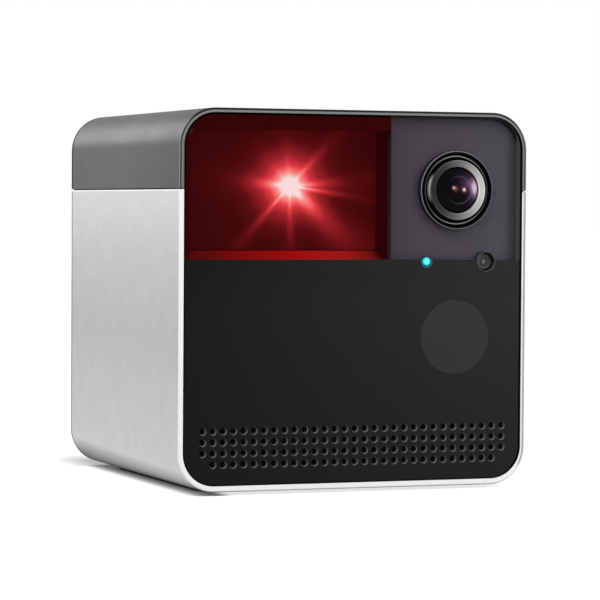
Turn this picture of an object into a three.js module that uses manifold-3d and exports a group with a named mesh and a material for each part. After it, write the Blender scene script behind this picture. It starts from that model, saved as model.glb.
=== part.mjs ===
// Interactive pet camera: a cube housing with a two-axis laser pointer, a wide-angle camera and a speaker.
// Millimetres. X runs across the front, Y from the front to the back, Z up.
import * as THREE from 'three';
import { mergeVertices } from 'three/addons/utils/BufferGeometryUtils.js';
import Module from 'manifold-3d';

const wasm = await Module();
wasm.setup();

// Clearances and shared detail
const slipFit = 0.2;
const shaftFit = 0.15;
const seamGap = 0.25;
const overrun = 1;
const cornerSteps = 5;
const fineSides = 20;
const midSides = 12;
const smallSides = 8;
const lensSteps = 3;

// Housing: a rounded square tube, parted into a lower shell and a top cover
const shellWidth = 81;
const shellHeight = 82;
const shellDepth = 80;
const shellCorner = 8.2;
const shellWall = 2.2;
const edgeChamfer = 0.6;
const rimWidth = 1.3;
const coverHeight = 17.4;
const tongueHeight = 3;
const tongueThickness = 1;
const tongueLength = 28;
const cornerBlockLength = 9;
const cornerBlockReach = 3;

const halfWidth = shellWidth / 2;
const front = -shellDepth / 2;
const back = shellDepth / 2;
const boreHalf = halfWidth - shellWall;
const boreLow = shellWall;
const boreHigh = shellHeight - shellWall;
const boreCorner = shellCorner - shellWall;
const cornerX = halfWidth - shellCorner;
const cornerLow = shellCorner;
const cornerHigh = shellHeight - shellCorner;
const splitHeight = shellHeight - coverHeight;

// Front pane, moulded in three colours that meet edge to edge, and the frame behind it
const glassRecess = 0.3;
const glassThickness = 1.8;
const flangeThickness = 2;
const skirtDepth = 3;
const skirtWidth = 2;
const plateThickness = 1.2;
const paneEdge = halfWidth - rimWidth - slipFit;
const paneCorner = shellCorner - rimWidth - slipFit;
const paneLow = rimWidth + slipFit;
const paneHigh = shellHeight - rimWidth - slipFit;
const glassFront = front + glassRecess;
const glassBack = glassFront + glassThickness;
const flangeBack = glassBack + flangeThickness;

// The laser window is at the upper left of the pane, the camera window at the upper right
const windowHeight = 30.9;
const cameraWindowWidth = 30.9;
const windowDivide = paneEdge - cameraWindowWidth;
const windowFloor = paneHigh - windowHeight;

// Bays behind the pane
const bayInset = 0.5;
const bayLip = 0.8;
const plateGap = 0.35;
const plateLap = 0.05;
const bayDivide = windowDivide + bayInset;
const bayFloor = windowFloor - bayLip;
const plateFloor = windowFloor - plateLap;

// Speaker holes in the pane: rows as wide as the pane allows, the last one shorter at the corners
const grillePitch = 2.33;
const grilleRowPitch = 2.38;
const grilleHoleRadius = 0.62;
const grilleHoleSides = 6;
const grilleTopRow = 12.95;
const grilleMargin = 3.9;
const grilleFullCount = 2 * Math.floor((paneEdge - grilleMargin) / grillePitch) + 1;
const grilleRows = [grilleFullCount, grilleFullCount, grilleFullCount, grilleFullCount - 2];

// Camera
const lensFromSide = 16.7;
const lensFromTop = 17.1;
const lensX = halfWidth - lensFromSide;
const lensZ = shellHeight - lensFromTop;
const collarRadius = 8.35;
const collarWall = 0.6;
const collarFlangeRadius = 10.5;
const collarFlangeThickness = 1.2;
const barrelRadius = 7.45;
const barrelRecess = 1.1;
const barrelFrontLength = 9;
const barrelBodyRadius = 6.5;
const barrelLength = 19.4;
const ringRadius = 6.6;
const ringBore = 5.2;
const ringProud = 1.1;
const ringDepth = 3.5;
const ringLip = 0.7;
const ringBevel = 0.35;
const domeSphereRadius = 9;
const domeEdgeRadius = 5.6;
const domeEdgeThickness = 1.1;
const domeGlassThickness = 1.6;
const innerLensRadius = 2.6;
const innerLensBulge = 0.8;
const innerLensEdge = 0.8;
const baffleFront = 4.9;
const baffleDepth = 2.6;
const apertureRadius = 2;
const holderHalf = 9.6;
const holderWall = 1.9;
const holderBaseThickness = 2.5;
const holderTubeLength = 9;
const boardThickness = 1.2;
const cameraBoardHalf = 13.2;
const cameraBoardCorner = 2.5;
const sensorHalf = 4;
const sensorThickness = 0.9;
const sensorToBarrel = 0.9;
const postRadius = 1.5;
const cameraPostReach = 11.5;

// Light sensor, status light and infrared lamp
const lightSensorBeside = 7.25;
const lightSensorBelow = 0.4;
const lightSensorX = lensX + lightSensorBeside;
const lightSensorZ = windowFloor - lightSensorBelow;
const lightSensorHole = 2.3;
const lightSensorRadius = 1.85;
const lightSensorRecess = 2;
const lightSensorStep = 0.55;
const lightSensorFlange = 3.2;
const statusBeside = 7.1;
const statusBelow = 0.33;
const statusX = lensX - statusBeside;
const statusZ = windowFloor - statusBelow;
const pipeRadius = 0.85;
const pipeFlange = 1.8;
const flangeDepth = 0.8;
const infraredBeside = -0.3;
const infraredLift = 1.375;
const infraredX = lensX + infraredBeside;
const infraredZ = (grilleTopRow + windowFloor) / 2 + infraredLift;
const infraredRadius = 8.1;
const infraredThickness = 1;
const infraredLedRadius = 1.5;
const infraredLedReach = 3.6;
const infraredLedRim = 0.4;
const infraredLedSteps = 3;
const sensorBoardGap = 4.4;
const sensorBoardHalf = 12.5;
const sensorBoardAboveSpeaker = 3.3;
const sensorBoardAboveFloor = 1.4;
const sensorPostBelow = 6;
const chipThickness = 1.1;
const statusChip = 2;
const microphoneWidth = 3.6;
const microphoneHeight = 2.4;
const microphoneInset = 3.4;

// Speaker
const speakerHalfWidth = 27;
const speakerHeight = 14;
const speakerDepth = 9;
const speakerWall = 1.2;
const speakerNeckRadius = 4;
const coneThickness = 0.5;
const coneRecess = 1;
const coneDepth = 5;
const magnetRadius = 6.6;
const magnetDepth = 6.5;
const speakerCentre = 10.2;
const sensorBoardLow = speakerCentre + speakerHeight / 2 + sensorBoardAboveSpeaker;
const sensorBoardHigh = windowFloor + sensorBoardAboveFloor;
const meshThickness = 0.4;
const meshInset = 3;
const meshHalfWidth = paneEdge - meshInset;
const meshHeight = 11;
const meshBorder = 0.8;

// Laser chamber
const chamberClearance = 0.5;
const chamberWall = 1.3;
const tubWall = 0.8;
const tubDepth = 3.5;
const tubRise = 1.9;
const tubShift = 0.95;
const tubTop = 0.5;
const chamberDepth = 30;
const filterThickness = 0.8;

// Two-axis laser drive
const pivotBeside = 2.825;
const pivotDepth = 18;
const pivotAboveFloor = 15.9;
const moduleRadius = 3;
const moduleFront = 8;
const moduleBack = 4.5;
const laserLensRadius = 2.1;
const laserLensDepth = 1.4;
const laserLensBulge = 0.5;
const cradleWall = 1.05;
const cradleHalf = 3;
const trunnionRadius = 1.1;
const trunnionHub = 2;
const trunnionPast = 0.7;
const armInner = 7.4;
const armThickness = 1.5;
const armFront = 4;
const armRear = 7;
const armHead = 3.6;
const yokeBaseThickness = 1.6;
const yokeDiscRadius = 6;
const panShaftRadius = 1.5;
const bushWall = 1.25;
const bushFlange = 4;
const bushFlangeThickness = 0.7;
const gearAngle = THREE.MathUtils.degToRad(25);
const addendumShare = 0.8;
const dedendumShare = 1.1;
const toothPlay = 0.12;
const centrePlay = 0.06;
const panModule = 0.72;
const panGearTeeth = 25;
const panPinionTeeth = 10;
const panSectorTeeth = 11;
const gearThickness = 3;
const gearHubRadius = 3.4;
const gearHubHeight = 1;
const tiltModule = 0.5;
const tiltGearTeeth = 25;
const tiltPinionTeeth = 10;
const tiltSectorTeeth = 9;
const tiltHubRadius = 2.6;
const tiltGearThickness = 2;
const tiltPinionAngle = THREE.MathUtils.degToRad(-70);
const motorShaftRadius = 0.7;
const motorShaftDepth = 3;
const panMotorRadius = 5;
const panMotorLength = 11.6;
const tiltMotorRadius = 3;
const tiltMotorLength = 11.8;
const motorPlateThickness = 1.6;
const motorPlateHalf = 13.5;
const motorPlateMargin = 2.5;
const motorPostRadius = 2;
const gearLift = 0.9;
const gearDrop = 0.8;

// Rear cover, board and connectors
const rearRecess = 0.4;
const rearThickness = 2;
const coverScrewHead = 2.1;
const coverScrewHeadDepth = 1.2;
const coverScrewShank = 1;
const coverScrewLength = 6.5;
const boardInset = 6.5;
const boardLow = 8;
const boardX = halfWidth - boardInset;
const boardHigh = shellHeight - boardLow;
const mainBoardThickness = 1.6;
const boardGap = 10;
const bossInset = 8;
const bossRise = 6;
const bossX = boardX - bossInset;
const bossLow = boardLow + bossRise;
const bossHigh = boardHigh - bossRise;
const bossRadius = 2.4;
const boardScrewHead = 1.9;
const boardScrewHeadDepth = 1.4;
const boardScrewShank = 0.9;
const boardScrewLength = 6;
const processorHalf = 6;
const processorFromTop = 36;
const processorZ = shellHeight - processorFromTop;
const spreaderHalf = 12;
const spreaderBase = 1.4;
const finHeight = 3;
const finThickness = 1.2;
const finCount = 6;
const radioWidth = 16;
const radioHeight = 13;
const radioThickness = 2;
const radioFromEdge = 17;
const radioFromTop = 25;
const radioX = -boardX + radioFromEdge;
const radioZ = shellHeight - radioFromTop;
const radioGap = 3;
const processorX = radioX + radioWidth / 2 + radioGap + spreaderHalf;
const radioCorner = 0.8;
const usbZ = 13;
const usbWidth = 9;
const usbHeight = 3.3;
const usbCorner = 1.6;
const usbSkin = 0.35;
const usbMouth = 6.5;
const usbTongueWidth = 6.4;
const usbTongueHeight = 0.7;
const usbSetBack = 0.7;
const buttonX = 14;
const buttonRadius = 2;
const buttonFlange = 2.9;
const buttonFlangeThickness = 0.8;
const buttonRecess = 0.2;
const buttonGap = 0.3;
const buttonTravel = 0.6;
const buttonStem = 1.15;
const switchHalf = 3;
const switchBody = 3.6;
const switchPlunger = 1.5;

// Foot and tripod socket
const footThickness = 1.7;
const footProud = 0.8;
const footInset = 8;
const footCorner = 6;
const socketBore = 3.175;
const socketWall = 1.7;
const socketFlange = 6.6;
const socketFlangeThickness = 1.2;
const socketDepth = 6.8;
const socketRoof = 1.2;

const rearLedge = back - rearRecess - rearThickness;
const rearOuter = back - rearRecess;
const bayLeft = -boreHalf + chamberClearance;
const bayTop = boreHigh - chamberClearance;
const bayCorner = boreCorner - chamberClearance;

// Geometry helpers

/** Welds a closed geometry and returns it as a solid with its faces pointing out. */
function toSolid(geometry) {
  const bare = geometry.clone();
  bare.deleteAttribute('normal');
  bare.deleteAttribute('uv');
  const welded = mergeVertices(bare);
  const places = welded.attributes.position.array;
  const index = welded.index.array;
  const corners = [];
  for (let i = 0; i < index.length; i += 3) {
    const [a, b, c] = [index[i], index[i + 1], index[i + 2]];
    if (a !== b && b !== c && c !== a) corners.push(a, b, c);
  }
  if (signedVolume(places, corners) < 0) {
    for (let i = 0; i < corners.length; i += 3) {
      [corners[i], corners[i + 1]] = [corners[i + 1], corners[i]];
    }
  }
  return new wasm.Manifold(new wasm.Mesh({
    numProp: 3,
    vertProperties: new Float32Array(places),
    triVerts: new Uint32Array(corners),
  }));
}

/** Six times the volume that the triangles enclose, negative when they face inwards. */
function signedVolume(places, corners) {
  const [a, b, c] = [new THREE.Vector3(), new THREE.Vector3(), new THREE.Vector3()];
  let total = 0;
  for (let i = 0; i < corners.length; i += 3) {
    a.fromArray(places, corners[i] * 3);
    b.fromArray(places, corners[i + 1] * 3);
    c.fromArray(places, corners[i + 2] * 3);
    total += a.dot(b.cross(c));
  }
  return total;
}

/** The geometry of a solid. */
function fromSolid(solid) {
  const mesh = solid.getMesh();
  const geometry = new THREE.BufferGeometry();
  geometry.setAttribute('position', new THREE.Float32BufferAttribute(mesh.vertProperties, mesh.numProp));
  geometry.setIndex(Array.from(mesh.triVerts));
  return geometry;
}

/** A body with tools taken away. */
function cut(body, ...tools) {
  return fromSolid(tools.reduce((solid, tool) => solid.subtract(toSolid(tool)), toSolid(body)));
}

/** Bodies joined into one. */
function join(...bodies) {
  return fromSolid(bodies.map(toSolid).reduce((all, body) => all.add(body)));
}

/** The space that two bodies share. */
function common(first, second) {
  return fromSolid(toSolid(first).intersect(toSolid(second)));
}

/** Points of a rectangle with its own radius at each corner, anticlockwise from the low right. */
function rectPoints(left, right, low, high, radii = [0, 0, 0, 0]) {
  const [lowRight, highRight, highLeft, lowLeft] = radii;
  const places = [
    [right - lowRight, low + lowRight, lowRight, -Math.PI / 2],
    [right - highRight, high - highRight, highRight, 0],
    [left + highLeft, high - highLeft, highLeft, Math.PI / 2],
    [left + lowLeft, low + lowLeft, lowLeft, Math.PI],
  ];
  const points = [];
  for (const [x, y, radius, start] of places) {
    const steps = radius > 0 ? cornerSteps : 0;
    for (let i = 0; i <= steps; i++) {
      const turn = start + (steps ? (i / steps) * (Math.PI / 2) : 0);
      points.push(new THREE.Vector2(x + radius * Math.cos(turn), y + radius * Math.sin(turn)));
    }
  }
  return points;
}

/** Points of a circle, anticlockwise. */
function ringPoints(x, y, radius, sides) {
  return Array.from({ length: sides }, (_, i) => {
    const turn = ((i + 0.5) / sides) * Math.PI * 2;
    return new THREE.Vector2(x + radius * Math.cos(turn), y + radius * Math.sin(turn));
  });
}

/** A shape from outline points, with holes. */
function outline(points, holes = []) {
  const shape = new THREE.Shape(points);
  shape.holes = holes.map((hole) => new THREE.Path(hole));
  return shape;
}

/** An X-Z shape made solid between two Y planes, with an optional chamfer on both ends. */
function slabY(shape, start, end, chamfer = 0) {
  const geometry = new THREE.ExtrudeGeometry(shape, {
    depth: end - start - 2 * chamfer,
    bevelEnabled: chamfer > 0,
    bevelSize: chamfer,
    bevelThickness: chamfer,
    bevelOffset: -chamfer,
    bevelSegments: 1,
  });
  return geometry.rotateX(Math.PI / 2).translate(0, end - chamfer, 0);
}

/** An X-Y shape made solid between two heights. */
function slabZ(shape, start, end) {
  const geometry = new THREE.ExtrudeGeometry(shape, { depth: end - start, bevelEnabled: false });
  return geometry.translate(0, 0, start);
}

/** A Y-Z shape made solid between two X planes. */
function slabX(shape, start, end) {
  const geometry = new THREE.ExtrudeGeometry(shape, { depth: end - start, bevelEnabled: false });
  return geometry.rotateX(Math.PI / 2).rotateZ(Math.PI / 2).translate(start, 0, 0);
}

/** A box given by its limits along each axis. */
function block(x0, x1, y0, y1, z0, z1) {
  const geometry = new THREE.BoxGeometry(x1 - x0, y1 - y0, z1 - z0);
  return geometry.translate((x0 + x1) / 2, (y0 + y1) / 2, (z0 + z1) / 2);
}

/** A turned body about the Y axis from [radius, place] pairs that start and end on the axis or close. */
function turnedY(profile, sides, x, z) {
  const points = profile.map(([radius, place]) => new THREE.Vector2(radius, place));
  return new THREE.LatheGeometry(points, sides).translate(x, 0, z);
}

/** A turned body about the Z axis. */
function turnedZ(profile, sides, x, y) {
  const points = profile.map(([radius, place]) => new THREE.Vector2(radius, place));
  return new THREE.LatheGeometry(points, sides).rotateX(Math.PI / 2).translate(x, y, 0);
}

/** A turned body about the X axis. */
function turnedX(profile, sides, y, z) {
  const points = profile.map(([radius, place]) => new THREE.Vector2(radius, place));
  return new THREE.LatheGeometry(points, sides).rotateZ(-Math.PI / 2).translate(0, y, z);
}

/** The profile of a plain rod. */
function rod(radius, start, end) {
  return [[0, start], [radius, start], [radius, end], [0, end]];
}

/** A body between outlines of equally many X-Z points, each at its own Y. */
function loftY(sections) {
  const count = sections[0].points.length;
  const places = sections.flatMap(({ points, y }) => points.flatMap((p) => [p.x, y, p.y]));
  const index = [];
  for (let s = 0; s < sections.length - 1; s++) {
    for (let i = 0; i < count; i++) {
      const next = (i + 1) % count;
      const [a, b, c, d] = [s * count + i, s * count + next, (s + 1) * count + next, (s + 1) * count + i];
      index.push(a, b, c, a, c, d);
    }
  }
  const last = (sections.length - 1) * count;
  for (const [a, b, c] of THREE.ShapeUtils.triangulateShape(sections[0].points, [])) index.push(a, c, b);
  for (const [a, b, c] of THREE.ShapeUtils.triangulateShape(sections.at(-1).points, [])) {
    index.push(last + a, last + b, last + c);
  }
  const geometry = new THREE.BufferGeometry();
  geometry.setAttribute('position', new THREE.Float32BufferAttribute(places, 3));
  geometry.setIndex(index);
  return geometry;
}

/** The points of one involute tooth about the given turn, from root to root. */
function toothPoints(teeth, size, turn) {
  const pitchRadius = (teeth * size) / 2;
  const baseRadius = pitchRadius * Math.cos(gearAngle);
  const tipRadius = pitchRadius + addendumShare * size;
  const rootRadius = pitchRadius - dedendumShare * size;
  const roll = (radius) => {
    const angle = Math.acos(Math.min(1, baseRadius / radius));
    return Math.tan(angle) - angle;
  };
  const play = toothPlay / 2 / pitchRadius;
  const halfTooth = (radius) => Math.PI / 2 / teeth - play + roll(pitchRadius) - roll(radius);
  const flankStart = Math.max(baseRadius, rootRadius);
  const radii = [rootRadius, flankStart, (flankStart + tipRadius) / 2, tipRadius];
  const rising = radii.map((radius) => [radius, turn - halfTooth(Math.max(radius, flankStart))]);
  const falling = radii.map((radius) => [radius, turn + halfTooth(Math.max(radius, flankStart))]).reverse();
  return [...rising, ...falling].map(([radius, angle]) =>
    new THREE.Vector2(radius * Math.cos(angle), radius * Math.sin(angle)));
}

/** Outline points of a whole gear, with tooth 0 centred at the given turn. */
function gearPoints(teeth, size, turn) {
  const pitchTurn = (Math.PI * 2) / teeth;
  return Array.from({ length: teeth }, (_, i) => toothPoints(teeth, size, turn + i * pitchTurn)).flat();
}

/** Outline points of a gear sector: an odd count of teeth about the given turn, closed by a round hub. */
function sectorPoints(teeth, size, turn, sectorTeeth, hubRadius) {
  const pitchTurn = (Math.PI * 2) / teeth;
  const beside = (sectorTeeth - 1) / 2;
  const toothed = Array.from({ length: sectorTeeth }, (_, i) =>
    toothPoints(teeth, size, turn + (i - beside) * pitchTurn)).flat();
  const start = turn + (beside + 1) * pitchTurn;
  const sweep = Math.PI * 2 - 2 * (beside + 1) * pitchTurn;
  const hub = Array.from({ length: cornerSteps + 1 }, (_, i) => {
    const angle = start + (i / cornerSteps) * sweep;
    return new THREE.Vector2(hubRadius * Math.cos(angle), hubRadius * Math.sin(angle));
  });
  return [...toothed, ...hub];
}

/** The distance between the centres of two meshing gears. */
function gearCentres(size, first, second) {
  return (size * (first + second)) / 2 + centrePlay;
}

// Finishes
const finishes = {
  aluminium: { color: 0xc6c7c9, roughness: 0.42, metalness: 0.9 },
  coverGrey: { color: 0x5c5d60, roughness: 0.5, metalness: 0.1 },
  blackPlastic: { color: 0x18181a, roughness: 0.55, metalness: 0 },
  blackGloss: { color: 0x101113, roughness: 0.12, metalness: 0 },
  windowRed: { color: 0x4a0a0b, roughness: 0.08, metalness: 0 },
  smokedClear: { color: 0x4a484e, roughness: 0.08, metalness: 0 },
  bayGrey: { color: 0x46444b, roughness: 0.45, metalness: 0.1 },
  rubber: { color: 0x1c1c1d, roughness: 0.85, metalness: 0 },
  brass: { color: 0xb58f45, roughness: 0.35, metalness: 1 },
  steel: { color: 0xa9abad, roughness: 0.3, metalness: 1 },
  lensGlass: { color: 0x0b0a12, roughness: 0.03, metalness: 0 },
  chamberRed: { color: 0x390707, roughness: 0.5, metalness: 0 },
  laserGlass: { color: 0xf04446, roughness: 0.05, metalness: 0 },
  whiteNylon: { color: 0xd9d6cc, roughness: 0.5, metalness: 0 },
  boardGreen: { color: 0x14402a, roughness: 0.5, metalness: 0.1 },
  chipBlack: { color: 0x202123, roughness: 0.6, metalness: 0 },
  statusCyan: { color: 0x00e0ff, roughness: 0.3, metalness: 0 },
  infraredClear: { color: 0x55505c, roughness: 0.15, metalness: 0 },
  paperGrey: { color: 0x3a3a3b, roughness: 0.9, metalness: 0 },
};

const part = new THREE.Group();
// The part's origin is on the ground below the middle of its box, and the lens stands out in front.
const domeOpening = ringBore - shaftFit;
const domeRise = domeSphereRadius - Math.sqrt(domeSphereRadius ** 2 - domeOpening ** 2);
const domeApex = front - ringProud + ringLip - domeRise;
part.position.set(0, -(domeApex + back) / 2, footProud);

/** Adds a named piece to the part. */
function piece(name, geometry, finish) {
  const facets = fromSolid(toSolid(geometry)).toNonIndexed();
  facets.computeVertexNormals();
  const mesh = new THREE.Mesh(facets, new THREE.MeshStandardMaterial(finishes[finish]));
  mesh.name = name;
  part.add(mesh);
}

// Housing shells

/** The rounded square section of the tube, inset all round. */
function tubeSection(inset) {
  const corner = shellCorner - inset;
  return rectPoints(-halfWidth + inset, halfWidth - inset, inset, shellHeight - inset,
    Array(4).fill(corner));
}

/** A geometry made for the +X side, mirrored where the side is negative. */
function onSide(geometry, side) {
  return side > 0 ? geometry : geometry.scale(-1, 1, 1);
}

/** A corner block that takes a rear cover screw. */
function cornerBlock(side, high) {
  const inner = cornerX - cornerBlockReach;
  const outer = boreHalf + shellWall / 2;
  const round = outer - cornerX;
  const near = high ? cornerHigh - cornerBlockReach : boreLow - shellWall / 2;
  const far = high ? boreHigh + shellWall / 2 : cornerLow + cornerBlockReach;
  const radii = [high ? 0 : round, high ? round : 0, 0, 0];
  const section = outline(rectPoints(inner, outer, near, far, radii));
  return onSide(slabY(section, rearLedge - cornerBlockLength, rearLedge), side);
}

/** The hole that a rear cover screw turns into. */
function screwHole(side, z) {
  return turnedY(rod(coverScrewShank + slipFit, rearLedge - cornerBlockLength - overrun, rearLedge + overrun),
    smallSides, side * cornerX, z);
}

function buildShells() {
  const outer = slabY(outline(tubeSection(0)), front, back, edgeChamfer);
  const bore = slabY(outline(tubeSection(shellWall)), front - overrun, back + overrun);
  const frontRebate = slabY(outline(tubeSection(rimWidth)), front - overrun, flangeBack);
  const rearRebate = slabY(outline(tubeSection(rimWidth)), rearLedge, back + overrun);
  const hollow = cut(outer, bore, frontRebate, rearRebate);
  const above = block(-shellWidth, shellWidth, -shellDepth, shellDepth, splitHeight, 2 * shellHeight);
  const below = block(-shellWidth, shellWidth, -shellDepth, shellDepth, -shellHeight, splitHeight + seamGap);

  const footPocket = slabZ(outline(footPoints(slipFit)), -overrun, footThickness - footProud);
  const socketBody = rod(socketBore + socketWall + slipFit, -overrun, shellWall + overrun);
  const socketHole = turnedZ(socketBody, midSides, 0, 0);
  let lower = cut(hollow, above, footPocket, socketHole);
  lower = join(lower, cornerBlock(1, false), cornerBlock(-1, false));
  lower = cut(lower, screwHole(1, cornerLow), screwHole(-1, cornerLow));
  piece('lower_shell', lower, 'aluminium');

  let cover = cut(hollow, below);
  cover = join(cover, cornerBlock(1, true), cornerBlock(-1, true), coverTongue(1), coverTongue(-1));
  cover = cut(cover, screwHole(1, cornerHigh), screwHole(-1, cornerHigh));
  piece('top_cover', cover, 'coverGrey');
}

/** A locating tongue inside the top cover's side wall, which reaches down behind the lower shell's wall. */
function coverTongue(side) {
  const outerFace = boreHalf - slipFit;
  const innerFace = outerFace - tongueThickness;
  const low = splitHeight - tongueHeight;
  const high = splitHeight + seamGap + tongueHeight;
  const rearEnd = rearLedge - cornerBlockLength - slipFit;
  const frontEnd = rearEnd - tongueLength;
  const strip = block(innerFace, outerFace, frontEnd, rearEnd, low, high);
  const root = block(innerFace, boreHalf + shellWall / 2, frontEnd, rearEnd, splitHeight + seamGap, high);
  return onSide(join(strip, root), side);
}

// Foot pad and tripod socket

/** The foot pad's outline, grown all round. */
function footPoints(grow) {
  const half = halfWidth - footInset + grow;
  const depth = shellDepth / 2 - footInset + grow;
  const corner = footCorner + grow;
  return rectPoints(-half, half, -depth, depth, Array(4).fill(corner));
}

function buildFoot() {
  const hole = ringPoints(0, 0, socketBore + socketWall + slipFit, midSides);
  piece('foot_pad', slabZ(outline(footPoints(0), [hole]), -footProud, footThickness - footProud), 'rubber');
  const radius = socketBore + socketWall;
  const profile = [
    [socketBore, 0], [radius, 0], [radius, shellWall], [socketFlange, shellWall],
    [socketFlange, shellWall + socketFlangeThickness], [radius, shellWall + socketFlangeThickness],
    [radius, socketDepth + socketRoof], [0, socketDepth + socketRoof], [0, socketDepth],
    [socketBore, socketDepth], [socketBore, 0],
  ];
  piece('tripod_insert', turnedZ(profile, midSides, 0, 0), 'brass');
}

// Front pane, frame and camera plate

/** The outline of the pane and of the frame's flange. */
function panePoints() {
  return rectPoints(-paneEdge, paneEdge, paneLow, paneHigh, Array(4).fill(paneCorner));
}

/** The centres of the speaker holes. */
function grilleCentres() {
  return grilleRows.flatMap((count, row) => Array.from({ length: count }, (_, i) => [
    (i - (count - 1) / 2) * grillePitch,
    grilleTopRow - row * grilleRowPitch,
  ]));
}

/** The outline of the laser chamber's front, grown all round. */
function bayPoints(grow) {
  const radii = [0, 0, bayCorner + grow, 0];
  return rectPoints(bayLeft - grow, bayDivide + grow, bayFloor - grow, bayTop + grow, radii);
}

/** The holes through the pane for the lens, the light sensor and the status light. */
function paneOpenings() {
  return [
    ringPoints(lensX, lensZ, collarRadius + shaftFit, fineSides),
    ringPoints(lightSensorX, lightSensorZ, lightSensorHole, midSides),
    ringPoints(statusX, statusZ, pipeRadius + shaftFit, smallSides),
  ];
}

function buildPane() {
  const speakerHoles = grilleCentres().map(([x, z]) => ringPoints(x, z, grilleHoleRadius, grilleHoleSides));
  const blank = slabY(outline(panePoints(), [...paneOpenings(), ...speakerHoles]), glassFront, glassBack);
  const windowBlank = slabY(outline(panePoints(), paneOpenings()), glassFront, glassBack);
  const zone = (left, right) => block(left, right, front, glassBack + overrun, windowFloor, shellHeight);
  piece('front_panel', cut(blank, zone(-halfWidth, halfWidth)), 'blackGloss');
  piece('laser_window', common(windowBlank, zone(-halfWidth, windowDivide)), 'windowRed');
  piece('camera_window', common(windowBlank, zone(windowDivide, halfWidth)), 'smokedClear');
}

const plateBack = glassBack + plateThickness;
const skirtEnd = flangeBack + skirtDepth;

/** A round cutter from in front of the pane to a depth behind it. */
function frontCutter(radius, sides, x, z, end) {
  return turnedY(rod(radius, front, end), sides, x, z);
}

/** The cutters for the lens, the light sensor's well and the light pipe, shared by frame and plate. */
function cameraCutters() {
  return [
    frontCutter(collarRadius + slipFit, fineSides, lensX, lensZ, flangeBack + overrun),
    frontCutter(lightSensorHole, midSides, lightSensorX, lightSensorZ, plateBack),
    frontCutter(pipeRadius + slipFit, smallSides, statusX, statusZ, flangeBack + overrun),
  ];
}

function buildFrame() {
  const flange = slabY(outline(panePoints()), glassBack, flangeBack);
  const skirtOuter = tubeSection(shellWall + slipFit);
  const skirtInner = tubeSection(shellWall + slipFit + skirtWidth);
  const skirt = slabY(outline(skirtOuter, [skirtInner]), flangeBack - flangeThickness / 2, skirtEnd);
  const post = (end) => ([x, z]) => turnedY(rod(postRadius, plateBack, end), smallSides, x, z);
  const posts = [...cameraPosts().map(post(cameraBoardFront)), ...sensorPosts().map(post(sensorBoardFront))];

  const laserBay = slabY(outline(bayPoints(slipFit)), front, skirtEnd + overrun);
  const plateSeat = plateFloor - slipFit / 2;
  const plateBay = block(bayDivide + slipFit, halfWidth, front, plateBack, plateSeat, shellHeight);
  const sensorHole = frontCutter(lightSensorRadius + slipFit, midSides, lightSensorX, lightSensorZ,
    flangeBack + overrun);
  const infraredSeat = frontCutter(infraredRadius + slipFit, fineSides, infraredX, infraredZ,
    glassBack + infraredThickness);
  const infraredHole = frontCutter(infraredRadius - meshBorder, fineSides, infraredX, infraredZ,
    flangeBack + overrun);
  const speakerSlot = slabY(outline(meshPoints(-meshBorder)), front, skirtEnd + overrun);
  const meshSeat = slabY(outline(meshPoints(slipFit)), front, glassBack + meshThickness);
  const speakerBay = slabY(outline(speakerPoints(slipFit)), flangeBack, skirtEnd + overrun);
  const frame = cut(join(flange, skirt, ...posts), laserBay, common(flange, plateBay), ...cameraCutters(),
    sensorHole, infraredSeat, infraredHole, speakerSlot, meshSeat, speakerBay);
  piece('front_frame', frame, 'blackPlastic');
}

function buildPlate() {
  const blank = slabY(outline(panePoints()), glassBack, plateBack);
  const bay = block(bayDivide + plateGap, halfWidth, front, back, plateFloor, shellHeight);
  piece('camera_plate', cut(common(blank, bay), ...cameraCutters()), 'bayGrey');
  piece('speaker_mesh', slabY(outline(meshPoints(0)), glassBack, glassBack + meshThickness), 'paperGrey');
  piece('infrared_window', turnedY(rod(infraredRadius, glassBack, glassBack + infraredThickness), fineSides,
    infraredX, infraredZ), 'infraredClear');
}

/** The outline of the speaker's dust cloth, grown all round. */
function meshPoints(grow) {
  const middle = grilleTopRow - (grilleRowPitch * (grilleRows.length - 1)) / 2;
  const round = grilleRowPitch + grow;
  return rectPoints(-meshHalfWidth - grow, meshHalfWidth + grow, middle - meshHeight / 2 - grow,
    middle + meshHeight / 2 + grow, Array(4).fill(round));
}

// Camera

const barrelFront = front + barrelRecess;
const barrelEnd = barrelFront + barrelLength;
const cameraBoardFront = barrelEnd + sensorToBarrel + sensorThickness;
const sensorBoardFront = flangeBack + sensorBoardGap;

/** The centres of the posts that carry the camera board. */
function cameraPosts() {
  const reach = cameraPostReach;
  const corners = [[reach, reach], [reach, -reach], [-reach, reach], [-reach, -reach]];
  return corners.map(([x, z]) => [lensX + x, lensZ + z]);
}

/** The centres of the posts that carry the sensor board. */
function sensorPosts() {
  const reach = sensorBoardHalf - 2 * postRadius;
  const low = sensorBoardLow + 2 * postRadius;
  const high = windowFloor - sensorPostBelow;
  return [[-reach, low], [reach, low], [-reach, high], [reach, high]].map(([x, z]) => [infraredX + x, z]);
}

/** Points of a lens face, from the axis out to its edge: place is the apex, bulge the depth to the edge. */
function facePoints(radius, apex, bulge, steps) {
  const sphere = (radius ** 2 + bulge ** 2) / (2 * bulge);
  return Array.from({ length: steps + 1 }, (_, i) => {
    const r = (radius * i) / steps;
    return [r, apex + Math.sign(bulge) * (Math.abs(sphere) - Math.sqrt(sphere ** 2 - r ** 2))];
  });
}

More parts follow.
